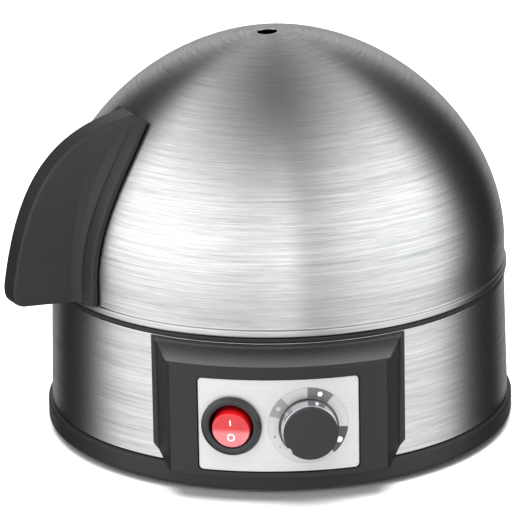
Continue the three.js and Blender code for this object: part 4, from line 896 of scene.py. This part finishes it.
def red_polycarbonate():
    """Tinted clear polycarbonate over a lamp: saturated red that light enters a little way, under
    a polished skin with fine flow lines. The lower half is painted pale pink, a painted reflection of the light in
    front."""
    material, tree, shader = surface(
        "red_polycarbonate", "#d3101a", 0.0, 0.12,
        **{"IOR": 1.58, "Subsurface Weight": 0.35, "Subsurface Scale": 1.5 * MM,
           "Subsurface Radius": (1.0, 0.15, 0.1), "Coat Weight": 0.5, "Coat Roughness": 0.08})
    place = add(tree, "TexCoord").outputs["Object"]
    flow = add(tree, "TexNoise", {"Vector": place, "Scale": 1 / (4 * MM), "Detail": 3.0}).outputs[0]
    tint = add(tree, "Mix", {0: flow, 6: colour("#b00810"), 7: colour("#c61820")}, data_type="RGBA").outputs[2]
    height = add(tree, "SeparateXYZ", {0: place}).outputs["Z"]
    # Painted reflection: below the axle the red turns pale pink, standing in for light reflected in the lower half of
    # the face.
    middle = (CONTROL_HEIGHT - 1.2) * MM
    painted_reflection_lower_half = add(tree, "MapRange", {"Value": height, 1: middle - 1.6 * MM, 2: middle + 0.9 * MM, 3: 1.0, 4: 0.0},
                interpolation_type="SMOOTHSTEP").outputs[0]
    mixed = add(tree, "Mix", {0: painted_reflection_lower_half, 6: tint, 7: colour("#cc6f74")}, data_type="RGBA").outputs[2]
    gloss = add(tree, "MapRange", {"Value": flow, 3: 0.10, 4: 0.22}).outputs[0]
    tree.links.new(mixed, shader.inputs["Base Color"])
    tree.links.new(gloss, shader.inputs["Roughness"])
    return material


BEZEL_BACK = PLATE_RADIUS + 0.3
BEZEL_FRONT = BEZEL_BACK + 2
BEZEL_RADIUS, OPENING_RADIUS, BARREL_RADIUS = 11.5, 8.2, 9.6
SWITCH_BACK = BEZEL_BACK - 17

switch = solid("switch_housing_moulding", [facing(lathe(arcs([
    (0, SWITCH_BACK, 0), (BARREL_RADIUS, SWITCH_BACK, 0.4), (BARREL_RADIUS, BEZEL_BACK, 0.1),
    (BEZEL_RADIUS, BEZEL_BACK, 0.15), (BEZEL_RADIUS, BEZEL_BACK + 0.8, 0.5),
    (BEZEL_RADIUS - 1.6, BEZEL_FRONT, 1.0), (OPENING_RADIUS + 0.5, BEZEL_FRONT - 0.3, 0.4),
    (OPENING_RADIUS, BEZEL_FRONT - 1.1, 0.4), (OPENING_RADIUS, SWITCH_BACK + 2, 0.4), (0, SWITCH_BACK + 2, 0),
]), 96), SWITCH_AZIMUTH, CONTROL_HEIGHT)], glossy_nylon(), "housing")
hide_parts("switch_housing")

ROCKER_RADIUS, ROCKER_FACE = 7.2, 6.4
ROCKER_AXIS = BEZEL_FRONT - 5.7
ROCKER_TILT = np.radians(10)


def rocker_face(y):
    """Height of the rocker's face over its axle: two slopes that meet in a soft valley, the upper
    branch of a hyperbola in y."""
    return ROCKER_FACE - 0.75 + np.sqrt((0.13 * y) ** 2 + 0.09 ** 2)


def on_rocker(x, y, z):
    """Local points of the rocker, tilted about its axle to rest, in the body's own axes."""
    tilted_y = y * np.cos(ROCKER_TILT) - z * np.sin(ROCKER_TILT)
    tilted_z = y * np.sin(ROCKER_TILT) + z * np.cos(ROCKER_TILT) + ROCKER_AXIS
    return facing(np.stack([x, tilted_y, tilted_z], axis=-1), SWITCH_AZIMUTH, CONTROL_HEIGHT)


def rocker_lens():
    """Disc whose rows run from the middle of the face out to its rounded rim, down the side, which
    widens a little to the bottom, and in below: radius and depth under the face by row."""
    rows = [(r, 0.0) for r in np.linspace(0, ROCKER_RADIUS - 0.8, 26)]
    rows += [(ROCKER_RADIUS - 0.6 + 0.6 * np.sin(t), 0.6 - 0.6 * np.cos(t)) for t in np.linspace(0.15, np.pi / 2, 8)]
    rows += [(ROCKER_RADIUS + 0.12, 2.5), (ROCKER_RADIUS + 0.3, 5.5), (ROCKER_RADIUS + 0.3, 8.5), (0, 8.5)]
    radius, depth = np.array(rows).T[:, :, None]
    turn = np.linspace(0, 2 * np.pi, 97)[None, :]
    x, y = radius * np.cos(turn), radius * np.sin(turn)
    top = rocker_face(y)
    lower = np.clip((depth - 2.5) / 3, 0, 1)
    z = (top - depth) * (1 - lower) + (ROCKER_FACE - 0.3 - depth) * lower
    return on_rocker(x, y, z)


def rocker_axle():
    """Round pin across the rocker with rounded ends."""
    grid = lathe(arcs([(0, -7.4, 0), (1.4, -7.4, 0.3), (1.4, 7.4, 0.3), (0, 7.4, 0)], 3), 32)
    return on_rocker(grid[..., 2], grid[..., 0], grid[..., 1])


rocker = solid("red_rocker", [rocker_lens()], red_polycarbonate(), "rocker")
carve(rocker, [solid("axle", [rocker_axle()], rocker.data.materials[0], None)], "UNION")
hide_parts("rocker_button")


def rocker_mark(name, x, y):
    """Thin closed print on the rocker's face from grids of local x and y."""
    low, high = (on_rocker(x, y, rocker_face(y) + lift) for lift in (-0.02, 0.05))
    border = [np.stack([a, b]) for a, b in
              ((low[0], high[0]), (low[-1], high[-1]), (low[:, 0], high[:, 0]), (low[:, -1], high[:, -1]))]
    mark = solid(name, [low, high, *border], white_ink, "rocker")


across, along = np.linspace(-0.24, 0.24, 4)[None, :], np.linspace(1.9, 4.4, 16)[:, None]
rocker_mark("rocker_mark_on", across + 0 * along, along + 0 * across)
ring_turn, ring_reach = np.linspace(0, 2 * np.pi, 49)[None, :], np.linspace(1.0, 1.5, 5)[:, None]
rocker_mark("rocker_mark_off", ring_reach * np.cos(ring_turn), -3.1 + ring_reach * np.sin(ring_turn))


# -------------------------------------------------------------------------------------- knob
# Dial knob on the regulator's shaft: a chrome-plated skirt ring, and a black ABS cap pressed into
# it, flat-faced, with a bright hairline rim and one small notch in its edge as the pointer.


def chrome_plate():
    """Decorative chrome over ABS: near-mirror, slightly blue, with fine wiping scratches."""
    material, tree, shader = surface("chrome_plate", "#e3e5e8", 1.0, 0.07)
    place = add(tree, "TexCoord").outputs["Object"]
    wipe = add(tree, "TexNoise", {"Vector": place, "Scale": 1 / (1.5 * MM), "Detail": 4.0}).outputs[0]
    gloss = add(tree, "MapRange", {"Value": wipe, 3: 0.05, 4: 0.13}).outputs[0]
    tree.links.new(gloss, shader.inputs["Roughness"])
    return material


KNOB_RADIUS = 10.3
KNOB_BACK, KNOB_FRONT = PLATE_RADIUS + 1.3, PLATE_RADIUS + 9.6
SKIRT_FRONT = KNOB_FRONT - 1.9
POINTER_ANGLE = np.radians(-141.4)

chrome = chrome_plate()
nylon = glossy_nylon()
skirt = solid("chrome_knob_skirt", [facing(lathe(arcs([
    (KNOB_RADIUS - 1.6, KNOB_BACK, 0.2), (KNOB_RADIUS + 1, KNOB_BACK, 0.3), (KNOB_RADIUS + 1, KNOB_BACK + 1, 0.4),
    (KNOB_RADIUS + 0.45, KNOB_BACK + 1.5, 0.5), (KNOB_RADIUS + 0.1, SKIRT_FRONT, 0.2),
    (KNOB_RADIUS - 1.6, SKIRT_FRONT, 0.2),
]), 128), DIAL_AZIMUTH, CONTROL_HEIGHT)], chrome, "knob")
# Painted shade: the skirt's foot flange takes the black nylon, a dark flange that also stands for the shadowed gap
# between the chrome and the printed ring.
skirt.data.materials.append(nylon)
dial_axis = np.array([np.sin(DIAL_AZIMUTH), -np.cos(DIAL_AZIMUTH), 0])
for face in skirt.data.polygons:
    off_axis = np.array(face.center) / MM - [0, 0, CONTROL_HEIGHT]
    if np.linalg.norm(off_axis - dial_axis * (off_axis @ dial_axis)) > KNOB_RADIUS + 0.5:
        face.material_index = 1
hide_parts("knob_skirt")


def knob_cap():
    """Cap turned from its outline; the rim is cut back by 0.7 mm inside the pointer's notch, over a
    smooth step in the turn."""
    core = KNOB_RADIUS - 1.9
    outline = arcs([
        (3.3, KNOB_FRONT - 2.1, 0.2), (3.3, KNOB_BACK + 3.5, 0.2), (7, KNOB_BACK + 3.5, 0.2), (7, KNOB_BACK, 0.2),
        (core, KNOB_BACK, 0.2), (core, SKIRT_FRONT + 0.3, 0.1), (KNOB_RADIUS, SKIRT_FRONT + 0.3, 0.2),
        (KNOB_RADIUS, KNOB_FRONT, 0.45), (0, KNOB_FRONT + 0.02, 0), (0, KNOB_FRONT - 2.1, 0),
    ])
    grid = lathe(outline, 240)
    turn = np.arctan2(grid[..., 1], grid[..., 0])
    radius = np.hypot(grid[..., 0], grid[..., 1])
    beside = np.abs(np.angle(np.exp(1j * (turn - POINTER_ANGLE)))) * KNOB_RADIUS
    notch = np.clip((1.35 - beside) / 0.35, 0, 1) * (radius > core + 0.2)
    shrink = 1 - 0.7 * notch / np.maximum(radius, 1)
    return np.stack([grid[..., 0] * shrink, grid[..., 1] * shrink, grid[..., 2]], axis=-1)


cap = solid("black_knob_cap", [facing(knob_cap(), DIAL_AZIMUTH, CONTROL_HEIGHT)], nylon, "knob")
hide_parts("timer_knob")


# -------------------------------------------------------------------------------- cable entry
# Snap-in bushing of black nylon in the back of the band, with a rounded mouth for the mains lead.

GLAND_BORE = 3.4
GLAND_WALL = BAND_RADIUS - 1.3 * (GLAND_HEIGHT - BAND_BOTTOM) / (BAND_TOP - BAND_BOTTOM)

gland = solid("cable_entry_bushing", [facing(lathe(arcs([
    (GLAND_BORE, GLAND_WALL - 3.8, 0.6), (GLAND_BORE + 3.8, GLAND_WALL - 3.8, 0.5),
    (GLAND_BORE + 3.8, GLAND_WALL - 1.6, 0.2), (GLAND_BORE + 2.4, GLAND_WALL - 1.6, 0.1),
    (GLAND_BORE + 2.4, GLAND_WALL + 0.3, 0.1), (GLAND_BORE + 4.6, GLAND_WALL + 0.3, 0.2),
    (GLAND_BORE + 4.6, GLAND_WALL + 1.6, 0.6), (GLAND_BORE + 3.6, GLAND_WALL + 2.6, 0.6),
    (GLAND_BORE, GLAND_WALL + 2.6, 0.9),
]), 72), np.pi, GLAND_HEIGHT)], black_abs, "housing")
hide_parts("cord_gland")


# ---------------------------------------------------------------------------------- egg tray
# Tray pressed from 1.2 mm stainless steel: a sunk floor with seven egg holes, whose edges are
# turned down, a sloping wall and a flat rim. Two black grips clip into it for lifting.


def pressed_stainless():
    """Bright pressed stainless steel: smooth, with faint drawing marks and cloudy reflections."""
    material, tree, shader = surface("pressed_stainless_steel", "#cfd0d1", 1.0, 0.2)
    place = add(tree, "TexCoord").outputs["Object"]
    cloud = add(tree, "TexNoise", {"Vector": place, "Scale": 1 / (9 * MM), "Detail": 4.0}).outputs[0]
    rolled = add(tree, "Mapping", {"Vector": place, "Scale": (1 / (0.5 * MM), 30, 30)}).outputs[0]
    grain = add(tree, "TexNoise", {"Vector": rolled, "Scale": 1.0, "Detail": 2.0}).outputs[0]
    gloss = add(tree, "MapRange", {"Value": cloud, 3: 0.14, 4: 0.28}).outputs[0]
    bump = add(tree, "Bump", {"Strength": 0.08, "Distance": 0.03 * MM, "Height": grain})
    tree.links.new(gloss, shader.inputs["Roughness"])
    tree.links.new(bump.outputs[0], shader.inputs["Normal"])
    return material


TRAY_SHEET, TRAY_FLOOR_TOP, TRAY_RIM_TOP = 1.2, 58.7, 62.7
TRAY_RIM_RADIUS, TRAY_FLOOR_RADIUS = 82.8, 69.3
EGG_CIRCLE, EGG_HOLE = 48.3, 16.0
HEX_REACH = 29.5
CELL_SIDE = 24


def straight(start, end, count):
    """Points from start towards end, without the end itself."""
    return start + (end - start) * np.linspace(0, 1, count, endpoint=False)[:, None]


def middle_cell():
    """Outline of the floor round the middle hole: a hexagon with its corners between the eggs."""
    turn = np.radians(60 * np.arange(7) + 30)
    corner = HEX_REACH * np.stack([np.sin(turn), -np.cos(turn)], axis=-1)
    return np.concatenate([straight(corner[i], corner[i + 1], CELL_SIDE) for i in range(6)])


def outer_cell(azimuth):
    """Outline of the floor round an outer hole: a sixth of the floor outside the hexagon."""
    turn = azimuth + np.radians(np.linspace(-30, 30, CELL_SIDE + 1))
    arc = TRAY_FLOOR_RADIUS * np.stack([np.sin(turn), -np.cos(turn)], axis=-1)
    inner = HEX_REACH * np.stack([np.sin(turn[[-1, 0]]), -np.cos(turn[[-1, 0]])], axis=-1)
    return np.concatenate([straight(inner[1], arc[0], CELL_SIDE), arc[:-1], straight(arc[-1], inner[0], CELL_SIDE),
                           straight(inner[0], inner[1], CELL_SIDE)])


def holed_cell(outline, centre):
    """Grids of one cell of the floor: the top runs in from the outline to the hole, over a rounded
    lip and down, and the underside runs back out. Each ray keeps to one point of the outline."""
    line = np.concatenate([outline, outline[:1]]) - centre
    ray = line / np.linalg.norm(line, axis=-1, keepdims=True)
    edge = line / EGG_HOLE
    flat = np.linspace(1, 0, 8)[:, None, None] ** 1.3
    lip = EGG_HOLE + 0.9
    top_xy = ray * lip + (line - ray * lip) * flat
    rows = [(top_xy, TRAY_FLOOR_TOP)]
    for t in np.linspace(0.3, np.pi / 2, 5):
        rows.append(((ray * (lip - 0.9 * np.sin(t)))[None], TRAY_FLOOR_TOP - 0.9 + 0.9 * np.cos(t)))
    low = TRAY_FLOOR_TOP - TRAY_SHEET - 1.4
    rows.append(((ray * EGG_HOLE)[None], low + 0.3))
    rows.append(((ray * (EGG_HOLE + 0.25))[None], low))
    rows.append(((ray * (EGG_HOLE + 0.9))[None], low))
    rows.append(((ray * (EGG_HOLE + 1.1))[None], low + 0.3))
    rows.append(((ray * (EGG_HOLE + 1.1))[None], TRAY_FLOOR_TOP - TRAY_SHEET - 0.3))
    under = ray * (lip + 0.6) + (line - ray * (lip + 0.6)) * flat[::-1]
    rows.append((under, TRAY_FLOOR_TOP - TRAY_SHEET))
    xy = np.concatenate([r for r, _ in rows]) + centre
    z = np.concatenate([np.full(len(r), h) for r, h in rows])[:, None]
    return np.stack([xy[..., 0], xy[..., 1], z + 0 * xy[..., 0]], axis=-1)


def tray_dish():
    """Floor cells round the seven holes, joined to a turned wall and rim with as many segments as
    the cells have along the floor's edge."""
    grids = [holed_cell(middle_cell(), np.zeros(2))]
    for azimuth in np.radians(60 * np.arange(6)):
        centre = EGG_CIRCLE * np.array([np.sin(azimuth), -np.cos(azimuth)])
        grids.append(holed_cell(outer_cell(azimuth), centre))
    bends = arcs([
        (TRAY_FLOOR_RADIUS - 30, TRAY_FLOOR_TOP, 0), (TRAY_FLOOR_RADIUS + 0.6, TRAY_FLOOR_TOP, 1),
        (72.3, TRAY_RIM_TOP, 1), (TRAY_RIM_RADIUS, TRAY_RIM_TOP, 0.5),
        (TRAY_RIM_RADIUS, TRAY_RIM_TOP - TRAY_SHEET, 0.5), (73.1, TRAY_RIM_TOP - TRAY_SHEET, 1),
        (TRAY_FLOOR_RADIUS + 1.4, TRAY_FLOOR_TOP - TRAY_SHEET, 1),
        (TRAY_FLOOR_RADIUS - 30, TRAY_FLOOR_TOP - TRAY_SHEET, 0),
    ], 4)
    wall = bends[bends[:, 0] > TRAY_FLOOR_RADIUS]
    turn = np.radians(np.linspace(-30, 330, 6 * CELL_SIDE + 1))[None, :]
    top = [[TRAY_FLOOR_RADIUS, TRAY_FLOOR_TOP]]
    under = [[TRAY_FLOOR_RADIUS, TRAY_FLOOR_TOP - TRAY_SHEET]]
    line = np.concatenate([top, wall, under])
    radius, height = line[:, :1], line[:, 1:]
    grids.append(np.stack([radius * np.sin(turn), -radius * np.cos(turn), height + 0 * turn], axis=-1))
    return grids


tray = solid("pressed_egg_tray", tray_dish(), pressed_stainless(), "tray")
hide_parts("egg_tray")


def tray_grip(side):
    """Tab with a stadium outline, thick at its rim and dished by 0.5 mm in its middle, on a round
    stem: the rows run in over one face, and the outline is closed at the foot."""
    x0 = side * (TRAY_FLOOR_RADIUS - 4)
    foot = TRAY_FLOOR_TOP + 0.3
    outline = arcs([(-7, foot, 0.6), (7, foot, 0.6), (7, foot + 17, 5), (-7, foot + 17, 5)], 8)
    line = np.concatenate([outline, outline[:1]])
    middle = np.array([0, foot + 8.5])
    rows = [(0, 0.7), (0.5, 0.7), (0.62, 0.75), (0.74, 1.15), (0.93, 1.2), (0.98, 1.1), (1, 0.8),
            (1, -0.8), (0.98, -1.1), (0.93, -1.2), (0.74, -1.15), (0.62, -0.75), (0.5, -0.7), (0, -0.7)]
    share, thick = np.array(rows).T[:, :, None]
    y = middle[0] + (line[:, 0] - middle[0]) * share
    z = middle[1] + (line[:, 1] - middle[1]) * share
    return np.stack([x0 + thick + 0 * y, y, z], axis=-1)


for number, side in enumerate((-1, 1), 1):
    grip = solid(f"tray_grip_moulding_{number}", [tray_grip(side)], black_abs, "tray")
    place = (side * (TRAY_FLOOR_RADIUS - 4), 0, 0)
    carve(grip, [drum("stem", 1.2, 55.6, 60.5, place, black_abs), drum("barb", 2.4, 54.9, 56.2, place, black_abs)],
          "UNION")
    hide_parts(f"tray_grip_{number}")


# -------------------------------------------------------------------------------------- dome
# Lid spun from 0.6 mm stainless steel and brushed while turning, with a rolled bead at its edge
# and a punched steam hole a little off the middle.

lid_low, lid_high = (np.array(corner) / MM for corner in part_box("lid_dome"))
LID_BOTTOM, LID_TOP = lid_low[2], lid_high[2]
LID_RADIUS, LID_SHEET, LID_SKIRT, LID_BULGE = 88.8, 0.6, 11.6, 1.865
STEAM_RADIUS, STEAM_OFFSET = 4.0, 3.0
HANDLE_AZIMUTH = np.radians(-62)


def dome_height(radius, inset=0.0):
    """Height of the dome over a radius: a superellipse (r / R)^n + (h / H)^n = 1 on the skirt."""
    full = LID_RADIUS - inset
    rise = LID_TOP - inset - LID_BOTTOM - LID_SKIRT
    share = np.clip(1 - (radius / full) ** LID_BULGE, 0, None)
    return LID_BOTTOM + LID_SKIRT + rise * share ** (1 / LID_BULGE)


def dome_skin(inset, rows, segments):
    """Rows of one skin of the dome from the top of the skirt to the steam hole. A row is a circle
    whose middle drifts from the axis to the hole's own middle, and each point takes the dome's
    height over it."""
    share = np.linspace(0, np.pi / 2, rows)[:, None]
    full = LID_RADIUS - inset
    radius = STEAM_RADIUS + (full - STEAM_RADIUS) * np.cos(share) ** (2 / LID_BULGE)
    drift = np.clip((45 - radius) / (45 - STEAM_RADIUS), 0, 1) ** 2 * STEAM_OFFSET
    turn = np.linspace(0, 2 * np.pi, segments + 1)[None, :]
    x = radius * np.sin(turn) + drift * np.sin(HANDLE_AZIMUTH)
    y = -radius * np.cos(turn) - drift * np.cos(HANDLE_AZIMUTH)
    z = dome_height(np.hypot(x, y), inset)
    return np.stack([x, y, z], axis=-1)


def lid_dome():
    """Outer skin, the hole's edge, the inner skin and the rolled bead as one closed grid."""
    segments = 288
    bead = lathe(arcs([
        (LID_RADIUS - LID_SHEET, LID_BOTTOM, 0.2), (LID_RADIUS + 0.9, LID_BOTTOM, 0.7),
        (LID_RADIUS + 0.9, LID_BOTTOM + 2.6, 0.8), (LID_RADIUS, LID_BOTTOM + 3.0, 0.5),
        (LID_RADIUS, LID_BOTTOM + LID_SKIRT, 0), (LID_RADIUS - LID_SHEET, LID_BOTTOM + LID_SKIRT, 0),
    ], 5), segments)[:-1]
    bead = bead[:-12]
    outer = dome_skin(0.0, 110, segments)
    inner = dome_skin(LID_SHEET, 60, segments)[::-1]
    middle = outer[-1].mean(0)
    lips = []
    for angle in np.linspace(0.4, np.pi - 0.4, 5):
        depth = LID_SHEET * (1 - np.cos(angle)) / 2
        pull = 1 - 0.04 * np.sin(angle)
        lip = (outer[-1] - middle) * np.array([pull, pull, 1]) + middle
        lips.append(lip - np.array([0, 0, depth]))
    rows = np.concatenate([bead, outer, np.stack(lips), inner])
    return np.concatenate([rows, rows[:1]])


dome = solid("brushed_lid_dome", [lid_dome()], brushed_steel, "lid")
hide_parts("lid_dome")


# ------------------------------------------------------------------------------------ handle
# Fin in black ABS, screwed on from inside the dome. Its rim sweeps down and outwards from the
# shoulder, its sides hollow into a cove, and a saddle with a raised border lies on the steel.

HANDLE_REACH, HANDLE_HEIGHT = 27.9, 66.5
HANDLE_BOTTOM = LID_BOTTOM + 2.7
RIM_HALF, ROOT_HALF = 5.0, 9.2
ROOT_LIFT, SADDLE, SADDLE_HALF, BORDER = 5.4, 3.2, 18.8, 5.4


def dome_radius(height):
    """Radius of the dome at a height, the superellipse the other way round."""
    rise = np.clip((height - LID_BOTTOM - LID_SKIRT) / (LID_TOP - LID_BOTTOM - LID_SKIRT), 0, 1)
    return LID_RADIUS * (1 - rise ** LID_BULGE) ** (1 / LID_BULGE)


def fin_rim(share):
    """Cubic Bezier curve of the rim in the fin's own plane, from its lower corner to its tip."""
    tip_height = HANDLE_BOTTOM + HANDLE_HEIGHT
    radius = dome_radius(tip_height)
    step = 0.01
    slope = (dome_radius(tip_height + step) - dome_radius(tip_height - step)) / (2 * step)
    normal = np.array([1, -slope]) / np.hypot(1, slope)
    tip = np.array([radius, tip_height]) + SADDLE * normal
    foot = np.array([LID_RADIUS + HANDLE_REACH, HANDLE_BOTTOM])
    hold_foot = foot + np.array([-5.6, 0.64 * HANDLE_HEIGHT])
    hold_tip = tip + np.array([1.25 * HANDLE_REACH, -4.4])
    s = share[:, None]
    return (1 - s) ** 3 * foot + 3 * s * (1 - s) ** 2 * hold_foot + 3 * s * s * (1 - s) * hold_tip + s ** 3 * tip


def fin_sections(share, reach, saddle_half):
    """Stack of cross-sections as (sideways, above the dome) outlines with their edges rounded."""
    root = RIM_HALF + (ROOT_HALF - RIM_HALF) * (1 - share ** 2)
    lift = np.minimum(ROOT_LIFT, reach - 1) * (1 - share ** 3) + (reach - 0.6) * share ** 3
    strip = np.maximum(saddle_half - BORDER, root + 2)
    valley = np.minimum(SADDLE - 0.6, lift)
    flat = np.zeros_like(share)
    half = [
        (flat + RIM_HALF, reach, flat + 1.1), (root, lift, flat + 1.0),
        (root + 0.3 * (strip - root), valley + 0.35 * (lift - valley), flat + 2.5),
        (root + 0.7 * (strip - root), valley, flat + 2.5), (strip, valley, flat + 0.25),
        (strip + 0.35, flat + SADDLE, flat + 0.3), (saddle_half, flat + SADDLE - 0.5, flat + 0.8),
        (saddle_half + 0.1, flat + 0.4, flat + 0.2),
    ]
    right = np.stack([np.stack(corner, axis=-1) for corner in half], axis=-2)
    left = right[:, ::-1] * np.array([-1, 1, 1])
    return arcs(np.concatenate([right, left], axis=-2), 5)


def lid_handle():
    """Cross-sections carried up the dome: each lies in the line from the dome to the rim's curve,
    bends round the dome with it, and closes to its own middle at the bottom and the top. The
    rim's lower corner is rounded by a quarter circle."""
    rows = 90
    share = np.linspace(0, 1, rows) ** 1.15
    height = HANDLE_BOTTOM + HANDLE_HEIGHT * share
    root = np.stack([dome_radius(height), height], axis=-1)
    out = fin_rim(share) - root
    reach = np.linalg.norm(out, axis=-1)
    out /= reach[:, None]
    corner = 4.0
    lower = np.clip(1 - (height - HANDLE_BOTTOM) / corner, 0, 1)
    reach = reach - corner * (1 - np.sqrt(1 - lower ** 2))
    saddle_half = SADDLE_HALF * (1 - ((height - HANDLE_BOTTOM - 20) / (HANDLE_HEIGHT - 8.5)) ** 4)
    section = fin_sections(share, reach, saddle_half)
    section = np.concatenate([section, section[:, :1]], axis=1)
    middle = np.array([0, 0.4])
    caps = middle + (section[[0, -1]] - middle)[:, None] * np.linspace(0, 1, 6)[None, :, None, None]
    side = np.concatenate([caps[0, :-1, :, 0], section[..., 0], caps[1, -2::-1, :, 0]])
    above = np.concatenate([caps[0, :-1, :, 1], section[..., 1], caps[1, -2::-1, :, 1]])
    which = np.concatenate([np.zeros(5, int), np.arange(rows), np.full(5, rows - 1)])
    root, out, height = root[which], out[which], height[which]
    wrap = root[:, :1] - np.sqrt(root[:, :1] ** 2 - side ** 2)
    run = root[:, :1] + out[:, :1] * above - wrap
    z = height[:, None] + out[:, 1:] * above
    x = run * np.sin(HANDLE_AZIMUTH) + side * np.cos(HANDLE_AZIMUTH)
    y = -run * np.cos(HANDLE_AZIMUTH) + side * np.sin(HANDLE_AZIMUTH)
    return np.stack([x, y, z], axis=-1)


handle = solid("black_lid_handle", [lid_handle()], black_abs, "lid")
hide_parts("lid_handle")

bpy.context.view_layer.update()
